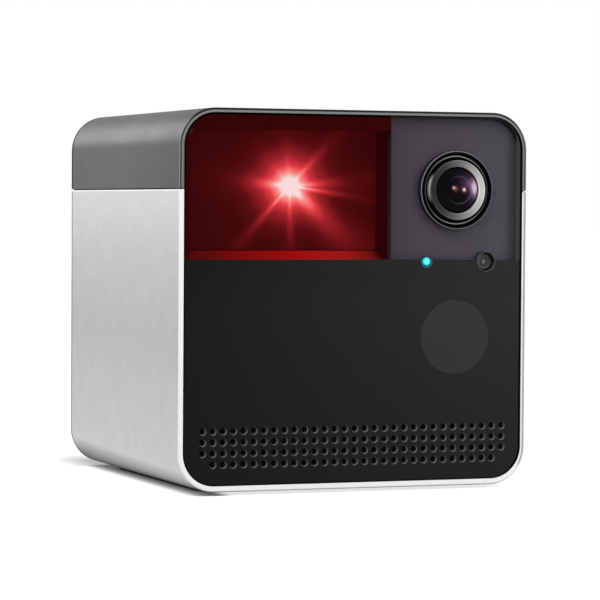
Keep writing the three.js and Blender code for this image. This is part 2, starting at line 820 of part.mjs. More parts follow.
function buildCamera() {
  const collarBore = collarRadius - collarWall;
  piece('lens_collar', turnedY([
    [collarBore, glassFront], [collarRadius, glassFront], [collarRadius, flangeBack],
    [collarFlangeRadius, flangeBack], [collarFlangeRadius, flangeBack + collarFlangeThickness],
    [collarBore, flangeBack + collarFlangeThickness], [collarBore, glassFront],
  ], fineSides, lensX, lensZ), 'blackPlastic');

  const ringBack = front - ringProud + ringDepth;
  const pocket = ringRadius + shaftFit;
  const stepBack = barrelFront + barrelFrontLength;
  const baffleBack = ringBack + baffleDepth;
  const lensSeat = baffleBack + innerLensEdge + 2 * innerLensBulge;
  piece('lens_barrel', turnedY([
    [pocket, barrelFront], [barrelRadius - ringBevel, barrelFront], [barrelRadius, barrelFront + ringBevel],
    [barrelRadius, stepBack], [barrelBodyRadius, stepBack], [barrelBodyRadius, barrelEnd],
    [apertureRadius, barrelEnd], [apertureRadius, lensSeat], [innerLensRadius + shaftFit, lensSeat],
    [innerLensRadius + shaftFit, baffleBack], [baffleFront, ringBack + slipFit], [pocket, ringBack + slipFit],
    [pocket, barrelFront],
  ], fineSides, lensX, lensZ), 'blackPlastic');

  const ringFront = front - ringProud;
  const domeSeat = domeEdgeRadius + shaftFit;
  piece('lens_retaining_ring', turnedY([
    [ringBore, ringFront + ringBevel], [ringRadius - ringBevel, ringFront],
    [ringRadius, ringFront + ringBevel], [ringRadius, ringBack], [domeSeat, ringBack],
    [domeSeat, ringFront + ringLip + slipFit],
    [ringBore, ringFront + ringLip + slipFit], [ringBore, ringFront + ringBevel],
  ], fineSides, lensX, lensZ), 'blackPlastic');

  const frontFace = facePoints(domeOpening, domeApex, domeRise, lensSteps);
  const rearRadius = baffleFront - coneThickness;
  const rearApex = domeApex + domeGlassThickness;
  const rearFace = facePoints(rearRadius, rearApex, domeRise - ringBevel, lensSteps).reverse();
  const shoulder = frontFace.at(-1)[1] + shaftFit + slipFit;
  piece('lens_dome', turnedY([
    ...frontFace, [domeOpening, shoulder], [domeEdgeRadius, shoulder],
    [domeEdgeRadius, shoulder + domeEdgeThickness], [rearRadius, shoulder + domeEdgeThickness], ...rearFace,
  ], fineSides, lensX, lensZ), 'lensGlass');

  const innerApex = baffleBack + shaftFit;
  const innerFace = facePoints(innerLensRadius, innerApex, innerLensBulge, lensSteps);
  const innerBack = innerApex + innerLensBulge + innerLensEdge;
  piece('lens_inner_element', turnedY([
    ...innerFace, [innerLensRadius, innerBack], [0, innerBack],
  ], midSides, lensX, lensZ), 'lensGlass');

  const holderBore = barrelBodyRadius + slipFit;
  const holderBack = cameraBoardFront;
  const holderTube = rod(holderBore + holderWall, holderBack - holderTubeLength, holderBack);
  const tubeBody = turnedY(holderTube, fineSides, lensX, lensZ);
  const base = block(lensX - holderHalf, lensX + holderHalf, holderBack - holderBaseThickness, holderBack,
    lensZ - holderHalf, lensZ + holderHalf);
  const holderHole = turnedY(rod(holderBore, front, back), fineSides, lensX, lensZ);
  piece('lens_holder', cut(join(tubeBody, base), holderHole), 'blackPlastic');
  const boardOutline = rectPoints(lensX - cameraBoardHalf, lensX + cameraBoardHalf, lensZ - cameraBoardHalf,
    lensZ + cameraBoardHalf, Array(4).fill(cameraBoardCorner));
  const boardEnd = cameraBoardFront + boardThickness;
  piece('camera_board', slabY(outline(boardOutline), cameraBoardFront, boardEnd), 'boardGreen');
  piece('image_sensor', block(lensX - sensorHalf, lensX + sensorHalf, cameraBoardFront - sensorThickness,
    cameraBoardFront, lensZ - sensorHalf, lensZ + sensorHalf), 'chipBlack');
}

// Light sensor, status light and infrared lamp

function buildSensors() {
  const sensorFront = front + lightSensorRecess;
  piece('light_sensor', turnedY([
    [0, sensorFront + lightSensorStep], [lightSensorRadius / 2, sensorFront + lightSensorStep],
    [lightSensorRadius / 2, sensorFront + lightSensorStep / 2], [lightSensorRadius - ringBevel, sensorFront],
    [lightSensorRadius, sensorFront], [lightSensorRadius, flangeBack], [lightSensorFlange, flangeBack],
    [lightSensorFlange, flangeBack + flangeDepth], [lightSensorRadius, flangeBack + flangeDepth],
    [lightSensorRadius, sensorBoardFront], [0, sensorBoardFront],
  ], midSides, lightSensorX, lightSensorZ), 'blackPlastic');
  const chipFront = sensorBoardFront - chipThickness;
  piece('status_light_pipe', turnedY([
    [0, glassFront], [pipeRadius, glassFront], [pipeRadius, flangeBack], [pipeFlange, flangeBack],
    [pipeFlange, flangeBack + flangeDepth], [pipeRadius, flangeBack + flangeDepth],
    [pipeRadius, chipFront - slipFit], [0, chipFront - slipFit],
  ], smallSides, statusX, statusZ), 'statusCyan');
  piece('status_led', block(statusX - statusChip / 2, statusX + statusChip / 2, chipFront, sensorBoardFront,
    statusZ - statusChip / 2, statusZ + statusChip / 2), 'statusCyan');
  piece('sensor_board', block(infraredX - sensorBoardHalf, infraredX + sensorBoardHalf, sensorBoardFront,
    sensorBoardFront + boardThickness, sensorBoardLow, sensorBoardHigh), 'boardGreen');

  const ledFront = glassBack + infraredThickness + slipFit;
  const ledShoulder = ledFront + infraredLedRadius;
  const dome = Array.from({ length: infraredLedSteps }, (_, i) => {
    const turn = (i / infraredLedSteps) * (Math.PI / 2);
    return [infraredLedRadius * Math.sin(turn), ledShoulder - infraredLedRadius * Math.cos(turn)];
  });
  const rim = infraredLedRadius + infraredLedRim;
  [-1, 1].forEach((side, i) => {
    piece(`infrared_led_${i + 1}`, turnedY([
      ...dome, [infraredLedRadius, ledShoulder], [infraredLedRadius, sensorBoardFront - infraredLedRim],
      [rim, sensorBoardFront - infraredLedRim], [rim, sensorBoardFront], [0, sensorBoardFront],
    ], midSides, infraredX + side * infraredLedReach, infraredZ), 'infraredClear');
  });
  const microphoneZ = sensorBoardLow + microphoneInset;
  piece('microphone', block(infraredX - microphoneWidth / 2, infraredX + microphoneWidth / 2, chipFront,
    sensorBoardFront, microphoneZ - microphoneHeight / 2, microphoneZ + microphoneHeight / 2), 'steel');
}

// Speaker

/** The outline of the speaker frame, grown all round. */
function speakerPoints(grow) {
  const low = speakerCentre - speakerHeight / 2 - grow;
  const high = speakerCentre + speakerHeight / 2 + grow;
  const round = speakerHeight / 2 - speakerWall + grow;
  return rectPoints(-speakerHalfWidth - grow, speakerHalfWidth + grow, low, high, Array(4).fill(round));
}

function buildSpeaker() {
  const start = flangeBack;
  const end = start + speakerDepth;
  const body = slabY(outline(speakerPoints(0)), start, end);
  const coneHalfHeight = speakerHeight / 2 - speakerWall;
  const stretch = (speakerHalfWidth - speakerWall) / coneHalfHeight;
  const coneMouth = turnedY([
    [0, start - overrun], [coneHalfHeight, start - overrun], [coneHalfHeight, start + coneRecess],
    [speakerNeckRadius, end - speakerWall], [speakerNeckRadius, end + overrun], [0, end + overrun],
  ], fineSides, 0, 0).scale(stretch, 1, 1).translate(0, 0, speakerCentre);
  piece('speaker_frame', cut(body, coneMouth), 'blackPlastic');
  const rim = coneHalfHeight - slipFit;
  const neck = speakerNeckRadius - coneThickness;
  const coneFront = start + coneRecess;
  const coneBack = coneFront + coneDepth;
  piece('speaker_cone', turnedY([
    [0, coneBack - coneThickness], [neck, coneBack - coneThickness], [rim, coneFront - coneThickness],
    [rim, coneFront], [neck, coneBack], [0, coneBack],
  ], fineSides, 0, 0).scale(stretch, 1, 1).translate(0, 0, speakerCentre), 'paperGrey');
  piece('speaker_magnet', turnedY([
    [0, end], [magnetRadius, end], [magnetRadius, end + magnetDepth - ringBevel],
    [magnetRadius - ringBevel, end + magnetDepth], [0, end + magnetDepth],
  ], midSides, 0, speakerCentre), 'steel');
}

// Laser chamber and its two-axis drive

const chamberBack = glassBack + tubDepth + chamberDepth;
const chamberRight = bayDivide - tubWall - tubShift;
const chamberFloor = bayFloor + tubWall + tubRise;
const chamberLeft = bayLeft + chamberWall;
const chamberTop = bayTop - tubWall - tubTop;
const pivotX = (chamberLeft + chamberRight) / 2 + pivotBeside;
const pivotY = front + pivotDepth;
const pivotZ = windowFloor + pivotAboveFloor;
const chamberUnder = chamberFloor - chamberWall;
const yokeLow = chamberFloor + bushFlangeThickness + slipFit;
const yokeTop = yokeLow + yokeBaseThickness;
const gearTop = chamberUnder - gearLift - gearHubHeight;
const gearLow = gearTop - gearThickness;
const motorPlateTop = gearLow - gearDrop;
const motorPlateLow = motorPlateTop - motorPlateThickness;
const panCentres = gearCentres(panModule, panGearTeeth, panPinionTeeth);
const tiltCentres = gearCentres(tiltModule, tiltGearTeeth, tiltPinionTeeth);
const panPinionY = pivotY + panCentres;
const tiltPinionY = pivotY + tiltCentres * Math.cos(tiltPinionAngle);
const tiltPinionZ = pivotZ + tiltCentres * Math.sin(tiltPinionAngle);

function buildChamber() {
  const mouth = glassBack + tubDepth;
  const collar = slabY(outline(bayPoints(0)), glassBack, mouth);
  const innerCorner = bayCorner - chamberWall;
  const boxOuter = slabY(outline(rectPoints(bayLeft, chamberRight + chamberWall, chamberUnder, bayTop,
    [0, 0, bayCorner, 0])), glassBack + tubDepth / 2, chamberBack);
  const innerPoints = rectPoints(chamberLeft, chamberRight, chamberFloor, chamberTop, [0, 0, innerCorner, 0]);
  const tub = loftY([
    { points: rectPoints(bayLeft + tubWall, bayDivide - tubWall, bayFloor + tubWall, bayTop - tubWall,
      [0, 0, bayCorner - tubWall, 0]), y: glassBack - shaftFit },
    { points: innerPoints, y: mouth },
    { points: innerPoints, y: chamberBack - chamberWall },
  ]);
  const bushHole = turnedZ(rod(panShaftRadius + shaftFit + bushWall + shaftFit, chamberUnder - overrun,
    chamberFloor + overrun), midSides, pivotX, pivotY);
  piece('laser_chamber', cut(join(collar, boxOuter), tub, bushHole), 'chamberRed');

  const filterPoints = rectPoints(chamberLeft + shaftFit, chamberRight - shaftFit, chamberFloor + shaftFit,
    chamberTop - shaftFit, [0, 0, innerCorner, 0]);
  piece('laser_filter', slabY(outline(filterPoints), mouth, mouth + filterThickness), 'chamberRed');
}

function buildPanDrive() {
  const bore = panShaftRadius + shaftFit;
  const bushRadius = bore + bushWall;
  piece('pan_bushing', turnedZ([
    [bore, chamberUnder - slipFit], [bushRadius, chamberUnder - slipFit], [bushRadius, chamberFloor],
    [bushFlange, chamberFloor], [bushFlange, chamberFloor + bushFlangeThickness],
    [bore, chamberFloor + bushFlangeThickness], [bore, chamberUnder - slipFit],
  ], midSides, pivotX, pivotY), 'brass');
  const shaft = rod(panShaftRadius, motorPlateLow - ringBevel, yokeTop);
  piece('pan_shaft', turnedZ(shaft, midSides, pivotX, pivotY), 'steel');

  const hole = ringPoints(0, 0, bore, midSides);
  const hub = ringPoints(0, 0, gearHubRadius, midSides);
  const gearTurn = Math.PI / 2;
  const sector = sectorPoints(panGearTeeth, panModule, gearTurn, panSectorTeeth, gearHubRadius);
  const gear = join(
    slabZ(outline(sector, [hole]), gearLow, gearTop),
    slabZ(outline(hub, [hole]), gearTop - slipFit, gearTop + gearHubHeight),
  );
  piece('pan_gear', gear.translate(pivotX, pivotY, 0), 'whiteNylon');
  const pinionTurn = -Math.PI / 2 + Math.PI / panPinionTeeth;
  const pinion = join(
    slabZ(outline(gearPoints(panPinionTeeth, panModule, pinionTurn)), gearLow, gearTop),
    turnedZ(rod(motorShaftRadius, motorPlateLow - motorShaftDepth, gearLow + slipFit), smallSides, 0, 0),
  );
  piece('pan_pinion', pinion.translate(pivotX, panPinionY, 0), 'whiteNylon');

  const left = pivotX - motorPlateHalf;
  const right = pivotX + motorPlateHalf;
  const near = pivotY - motorPlateHalf + motorPlateMargin;
  const far = panPinionY + panMotorRadius + motorPlateMargin;
  const plateOutline = outline(rectPoints(left, right, near, far, Array(4).fill(motorPostRadius)));
  const plate = slabZ(plateOutline, motorPlateLow, motorPlateTop);
  const posts = [[left, near], [right, near], [left, far], [right, far]].map(([x, y]) => {
    const postX = x + Math.sign(pivotX - x) * motorPostRadius;
    const postY = y + Math.sign(pivotY - y) * motorPostRadius;
    return turnedZ(rod(motorPostRadius, motorPlateTop - slipFit, chamberUnder), smallSides, postX, postY);
  });
  const shaftCutter = rod(bore, motorPlateLow - overrun, motorPlateTop + overrun);
  const shaftHole = turnedZ(shaftCutter, midSides, pivotX, pivotY);
  const pinionCutter = rod(motorShaftRadius + slipFit, motorPlateLow - overrun, motorPlateTop + overrun);
  const pinionHole = turnedZ(pinionCutter, smallSides, pivotX, panPinionY);
  piece('motor_plate', cut(join(plate, ...posts), shaftHole, pinionHole), 'blackPlastic');
  const motorLow = motorPlateLow - panMotorLength;
  const shaftBore = motorShaftRadius + slipFit;
  const shaftEnd = motorPlateLow - motorShaftDepth - slipFit;
  piece('pan_motor', turnedZ([
    [0, motorLow], [panMotorRadius - ringBevel, motorLow], [panMotorRadius, motorLow + ringBevel],
    [panMotorRadius, motorPlateLow], [shaftBore, motorPlateLow], [shaftBore, shaftEnd], [0, shaftEnd],
  ], midSides, pivotX, panPinionY), 'steel');
}

/** The side outline of a yoke arm, in Y and Z about the pivot. */
function armPoints() {
  const low = yokeLow - pivotZ;
  const head = Array.from({ length: 2 * cornerSteps + 1 }, (_, i) => {
    const turn = (i / (2 * cornerSteps)) * Math.PI;
    return new THREE.Vector2(armHead * Math.cos(turn), armHead * Math.sin(turn));
  });
  return [
    new THREE.Vector2(-armFront, low), new THREE.Vector2(armRear, low),
    new THREE.Vector2(armRear, tiltPinionZ - pivotZ + tiltMotorRadius), ...head,
    new THREE.Vector2(-armFront, low + yokeBaseThickness),
  ];
}

function buildYoke() {
  const armOuter = armInner + armThickness;
  const base = slabZ(outline(rectPoints(-armOuter, armOuter, -armFront, armRear)), yokeLow, yokeTop);
  const disc = turnedZ(rod(yokeDiscRadius, yokeLow, yokeTop), midSides, 0, 0);
  const arms = [[-armOuter, -armInner], [armInner, armOuter]].map(([start, end]) =>
    slabX(outline(armPoints()), start, end).translate(0, 0, pivotZ));
  const trunnionBore = rod(trunnionRadius + shaftFit, -armOuter - overrun, armOuter + overrun);
  const trunnionHole = turnedX(trunnionBore, smallSides, 0, pivotZ);
  const pinionHole = turnedX(rod(motorShaftRadius + slipFit, 0, armOuter + overrun), smallSides,
    tiltPinionY - pivotY, tiltPinionZ);
  const shaftCutter = rod(panShaftRadius + shaftFit, yokeLow - overrun, yokeTop + overrun);
  const shaftHole = turnedZ(shaftCutter, midSides, 0, 0);
  const yoke = cut(join(base, disc, ...arms), trunnionHole, pinionHole, shaftHole);
  piece('pan_yoke', yoke.translate(pivotX, pivotY, 0), 'blackPlastic');
}

function buildTiltDrive() {
  const armOuter = armInner + armThickness;
  const gearStart = armOuter + 2 * slipFit;
  const gearEnd = gearStart + tiltGearThickness;
  const cradleBore = moduleRadius + shaftFit;
  const sleeve = turnedY(rod(cradleBore + cradleWall, -cradleHalf, cradleHalf), midSides, 0, 0);
  const hub = turnedX(rod(trunnionHub, -armInner + slipFit, armInner - slipFit), smallSides, 0, 0);
  const pins = turnedX(rod(trunnionRadius, -armOuter - trunnionPast, gearEnd + ringBevel), smallSides, 0, 0);
  const moduleHole = turnedY(rod(cradleBore, -moduleFront, moduleFront), midSides, 0, 0);
  const cradle = cut(join(sleeve, hub, pins), moduleHole);
  piece('tilt_cradle', cradle.translate(pivotX, pivotY, pivotZ), 'blackPlastic');

  const lensBore = laserLensRadius + shaftFit;
  piece('laser_module', turnedY([
    [0, moduleBack], [moduleRadius, moduleBack], [moduleRadius, -moduleFront + ringBevel],
    [moduleRadius - ringBevel, -moduleFront], [lensBore, -moduleFront],
    [lensBore, -moduleFront + laserLensDepth], [0, -moduleFront + laserLensDepth],
  ], midSides, 0, 0).translate(pivotX, pivotY, pivotZ), 'brass');
  const lensFace = facePoints(laserLensRadius, -moduleFront - shaftFit, laserLensBulge, lensSteps);
  piece('laser_lens', turnedY([
    ...lensFace, [laserLensRadius, -moduleFront + laserLensDepth], [0, -moduleFront + laserLensDepth],
  ], midSides, 0, 0).translate(pivotX, pivotY, pivotZ), 'laserGlass');

  const hole = ringPoints(0, 0, trunnionRadius + shaftFit, smallSides);
  const sector = sectorPoints(tiltGearTeeth, tiltModule, tiltPinionAngle, tiltSectorTeeth, tiltHubRadius);
  const gear = slabX(outline(sector, [hole]), gearStart, gearEnd);
  piece('tilt_gear', gear.translate(pivotX, pivotY, pivotZ), 'whiteNylon');
  const pinionTurn = tiltPinionAngle + Math.PI + Math.PI / tiltPinionTeeth;
  const shaftStart = armInner - motorShaftDepth;
  const pinion = join(
    slabX(outline(gearPoints(tiltPinionTeeth, tiltModule, pinionTurn)), gearStart, gearEnd),
    turnedX(rod(motorShaftRadius, shaftStart, gearStart + slipFit), smallSides, 0, 0),
  );
  piece('tilt_pinion', pinion.translate(pivotX, tiltPinionY, tiltPinionZ), 'whiteNylon');
  const shaftBore = motorShaftRadius + slipFit;
  const motorEnd = armInner - tiltMotorLength;
  piece('tilt_motor', turnedX([
    [0, motorEnd], [tiltMotorRadius - ringBevel, motorEnd], [tiltMotorRadius, motorEnd + ringBevel],
    [tiltMotorRadius, armInner], [shaftBore, armInner], [shaftBore, shaftStart - slipFit],
    [0, shaftStart - slipFit],
  ], midSides, tiltPinionY, tiltPinionZ).translate(pivotX, 0, 0), 'steel');
}

// Rear cover, main board and connectors

const boardBack = rearLedge - boardGap;
const boardFront = boardBack - mainBoardThickness;

/** The corners that take a rear cover screw, numbered from the low left. */
function coverScrewPlaces() {
  return [[-cornerX, cornerLow], [cornerX, cornerLow], [-cornerX, cornerHigh], [cornerX, cornerHigh]];
}

/** The places of the board's screws, numbered from the low left. */
function boardScrewPlaces() {
  return [[-bossX, bossLow], [bossX, bossLow], [-bossX, bossHigh], [bossX, bossHigh]];
}

/** The rounded outline of the power socket, grown all round. */
function usbPoints(grow) {
  const halfWide = usbWidth / 2 + grow;
  const halfHigh = usbHeight / 2 + grow;
  const corner = usbCorner + grow;
  return rectPoints(-halfWide, halfWide, usbZ - halfHigh, usbZ + halfHigh, Array(4).fill(corner));
}

function buildRear() {
  const plate = slabY(outline(panePoints()), rearLedge, rearOuter);
  const bosses = boardScrewPlaces().map(([x, z]) =>
    turnedY(rod(bossRadius, boardBack, rearLedge + rearThickness / 2), midSides, x, z));
  const shankBore = rod(coverScrewShank + slipFit, rearLedge - overrun, rearOuter + overrun);
  const headBore = rod(coverScrewHead + slipFit, rearOuter - coverScrewHeadDepth, rearOuter + overrun);
  const screwHoles = coverScrewPlaces().flatMap(([x, z]) => [
    turnedY(shankBore, smallSides, x, z), turnedY(headBore, midSides, x, z),
  ]);
  const bossBoreEnd = boardBack + boardScrewLength + slipFit;
  const bossBore = rod(boardScrewShank + slipFit, boardBack - overrun, bossBoreEnd);
  const bossHoles = boardScrewPlaces().map(([x, z]) => turnedY(bossBore, smallSides, x, z));
  const socketHole = slabY(outline(usbPoints(slipFit)), rearLedge - overrun, rearOuter + overrun);
  const buttonBore = rod(buttonRadius + slipFit, rearLedge - overrun, rearOuter + overrun);
  const buttonHole = turnedY(buttonBore, midSides, buttonX, usbZ);
  const cover = cut(join(plate, ...bosses), ...screwHoles, ...bossHoles, socketHole, buttonHole);
  piece('rear_cover', cover, 'blackPlastic');

  coverScrewPlaces().forEach(([x, z], i) => {
    const headFront = rearOuter - coverScrewHeadDepth;
    piece(`cover_screw_${i + 1}`, turnedY([
      [0, headFront - coverScrewLength], [coverScrewShank, headFront - coverScrewLength],
      [coverScrewShank, headFront], [coverScrewHead, headFront], [coverScrewHead, rearOuter], [0, rearOuter],
    ], smallSides, x, z), 'steel');
  });
}

function buildElectronics() {
  const shankHole = boardScrewShank + slipFit;
  const boardHoles = boardScrewPlaces().map(([x, z]) => ringPoints(x, z, shankHole, smallSides));
  const boardOutline = outline(rectPoints(-boardX, boardX, boardLow, boardHigh), boardHoles);
  piece('main_board', slabY(boardOutline, boardFront, boardBack), 'boardGreen');
  boardScrewPlaces().forEach(([x, z], i) => {
    piece(`board_screw_${i + 1}`, turnedY([
      [0, boardFront - boardScrewHeadDepth], [boardScrewHead, boardFront - boardScrewHeadDepth],
      [boardScrewHead, boardFront], [boardScrewShank, boardFront],
      [boardScrewShank, boardBack + boardScrewLength], [0, boardBack + boardScrewLength],
    ], smallSides, x, z), 'steel');
  });

  const chipFront = boardFront - chipThickness;
  piece('processor', block(processorX - processorHalf, processorX + processorHalf, chipFront, boardFront,
    processorZ - processorHalf, processorZ + processorHalf), 'chipBlack');
  const spreaderFront = chipFront - spreaderBase;
  const finPitch = (2 * spreaderHalf - finThickness) / (finCount - 1);
  const fins = Array.from({ length: finCount }, (_, i) => {
    const start = processorX - spreaderHalf + i * finPitch;
    return block(start, start + finThickness, spreaderFront - finHeight, spreaderFront + spreaderBase / 2,
      processorZ - spreaderHalf, processorZ + spreaderHalf);
  });
  const spreaderPlate = block(processorX - spreaderHalf, processorX + spreaderHalf, spreaderFront, chipFront,
    processorZ - spreaderHalf, processorZ + spreaderHalf);
  piece('heat_spreader', join(spreaderPlate, ...fins), 'aluminium');
  const radioOutline = rectPoints(radioX - radioWidth / 2, radioX + radioWidth / 2, radioZ - radioHeight / 2,
    radioZ + radioHeight / 2, Array(4).fill(radioCorner));
  piece('radio_module', slabY(outline(radioOutline), boardFront - radioThickness, boardFront), 'steel');

  const socketEnd = rearOuter - usbSetBack;
  const shell = slabY(outline(usbPoints(0)), boardBack, socketEnd);
  const mouth = slabY(outline(usbPoints(-usbSkin)), socketEnd - usbMouth, socketEnd + overrun);
  const tongue = block(-usbTongueWidth / 2, usbTongueWidth / 2, socketEnd - usbMouth - overrun,
    socketEnd - overrun, usbZ - usbTongueHeight / 2, usbZ + usbTongueHeight / 2);
  piece('usb_socket', join(cut(shell, mouth), tongue), 'steel');

  const buttonTop = rearOuter - buttonRecess;
  const buttonSeat = rearLedge - buttonGap;
  const flangeStart = buttonSeat - buttonFlangeThickness;
  const stemRadius = buttonRadius - ringBevel;
  const stemEnd = flangeStart - buttonStem;
  piece('reset_button', turnedY([
    [0, stemEnd], [stemRadius, stemEnd], [stemRadius, flangeStart], [buttonFlange, flangeStart],
    [buttonFlange, buttonSeat], [buttonRadius, buttonSeat], [buttonRadius, buttonTop - ringBevel],
    [stemRadius, buttonTop], [0, buttonTop],
  ], midSides, buttonX, usbZ), 'blackPlastic');
  const switchFace = boardBack + switchBody;
  const plungerEnd = stemEnd - buttonTravel - slipFit;
  const switchBox = block(buttonX - switchHalf, buttonX + switchHalf, boardBack, switchFace,
    usbZ - switchHalf, usbZ + switchHalf);
  const plunger = turnedY(rod(switchPlunger, switchFace - slipFit, plungerEnd), smallSides, buttonX, usbZ);
  piece('reset_switch', join(switchBox, plunger), 'chipBlack');
}

buildShells();
buildFoot();
buildPane();
buildFrame();
buildPlate();
buildCamera();
buildSensors();
buildSpeaker();
buildChamber();
buildPanDrive();
buildYoke();
buildTiltDrive();
buildRear();
buildElectronics();

export default part;
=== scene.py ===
"""The looks of an interactive pet camera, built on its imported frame.

Sizes are millimetres in the part's own frame: X across the front, Y from the front to the back, Z up from
the underside of the shell. to_scene and to_part change them into the scene's metres and back. A spot is a
place across and a height, a profile is pairs of place along an axis and radius, and a colour is three levels
of 0 to 255, or one number for a plain grey.
"""

import logging
import math
from collections.abc import Callable, Sequence
from dataclasses import dataclass
from enum import Enum
from itertools import pairwise
from typing import Any

import bmesh
import bpy
from mathutils import Matrix, Vector


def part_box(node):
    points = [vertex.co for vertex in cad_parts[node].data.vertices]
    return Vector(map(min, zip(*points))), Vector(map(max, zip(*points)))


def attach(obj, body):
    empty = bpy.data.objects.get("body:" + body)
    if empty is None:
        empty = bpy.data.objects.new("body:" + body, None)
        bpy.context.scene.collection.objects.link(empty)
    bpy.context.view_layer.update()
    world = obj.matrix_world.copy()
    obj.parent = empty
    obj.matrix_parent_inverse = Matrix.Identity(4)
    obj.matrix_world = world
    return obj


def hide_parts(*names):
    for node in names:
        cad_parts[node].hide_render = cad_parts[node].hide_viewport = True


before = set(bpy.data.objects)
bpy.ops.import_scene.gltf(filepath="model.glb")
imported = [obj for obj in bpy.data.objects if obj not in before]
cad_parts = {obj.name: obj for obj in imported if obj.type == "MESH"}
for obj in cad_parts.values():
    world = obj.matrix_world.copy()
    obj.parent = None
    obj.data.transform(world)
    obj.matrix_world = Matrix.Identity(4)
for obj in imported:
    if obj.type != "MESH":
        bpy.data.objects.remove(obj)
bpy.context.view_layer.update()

Colour = tuple[float, float, float] | float
Point = tuple[float, float, float]
Spot = tuple[float, float]
Profile = Sequence[tuple[float, float]]
Material = bpy.types.Material

log = logging.getLogger("pet_camera")
MM = 0.001
MERGE = 0.0002
TOUCH = 0.01
SQUARE_ON = 0.9
SOFT = 0.1
WHITE, BLACK = 255, 0
HALF, HEIGHT, REACH, CORNER = 40.5, 82.0, 40.0, 8.2
FOOT_HALF, FOOT_TOP = (32.5, 32.0), 0.9
MIDDLE, LENS, SENSOR, STATUS = (0.0, 0.0), (23.8, 64.9), (31.05, 49.2), (16.7, 49.27)
SHELL_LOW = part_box("lower_shell")[0]
DATUM = Vector((0.0, SHELL_LOW.y + REACH * MM, SHELL_LOW.z))


class Axis(Enum):
    """The axis that a turned piece goes round, with the turn that lays a flat circle across it."""

    Y = ((0, 1, 0), (math.pi / 2, 0, 0))
    Z = ((0, 0, 1), (0, 0, 0))


class Kind(Enum):
    """What an edit picks: corners, edges or faces."""

    POINTS = ("VERT", "verts")
    EDGES = ("EDGE", "edges")
    FACES = ("FACE", "faces")


def to_scene(point: Sequence[float]) -> Vector:
    """The scene's place, in metres, of a point given in the part's millimetres."""
    return DATUM + Vector(point) * MM


def to_part(point: Vector) -> Vector:
    """The part's place, in millimetres, of a point of the scene."""
    return (point - DATUM) / MM


def linear(colour: Colour) -> tuple[float, float, float, float]:
    """A colour as the linear RGBA that a socket holds."""
    def one(level: float) -> float:
        """One channel, taken out of the display curve."""
        share = level / 255
        return share / 12.92 if share <= 0.04045 else ((share + 0.055) / 1.055) ** 2.4
    levels = (colour,) * 3 if isinstance(colour, (int, float)) else colour
    return (*map(one, levels), 1.0)


def cool(level: float) -> Colour:
    """A grey with a trace more blue."""
    return level, level, level + 1


def free() -> None:
    """Leaves edit mode and deselects everything, so that the next operator touches only what it adds."""
    if bpy.context.mode != "OBJECT":
        bpy.ops.object.mode_set(mode="OBJECT")
    bpy.ops.object.select_all(action="DESELECT")


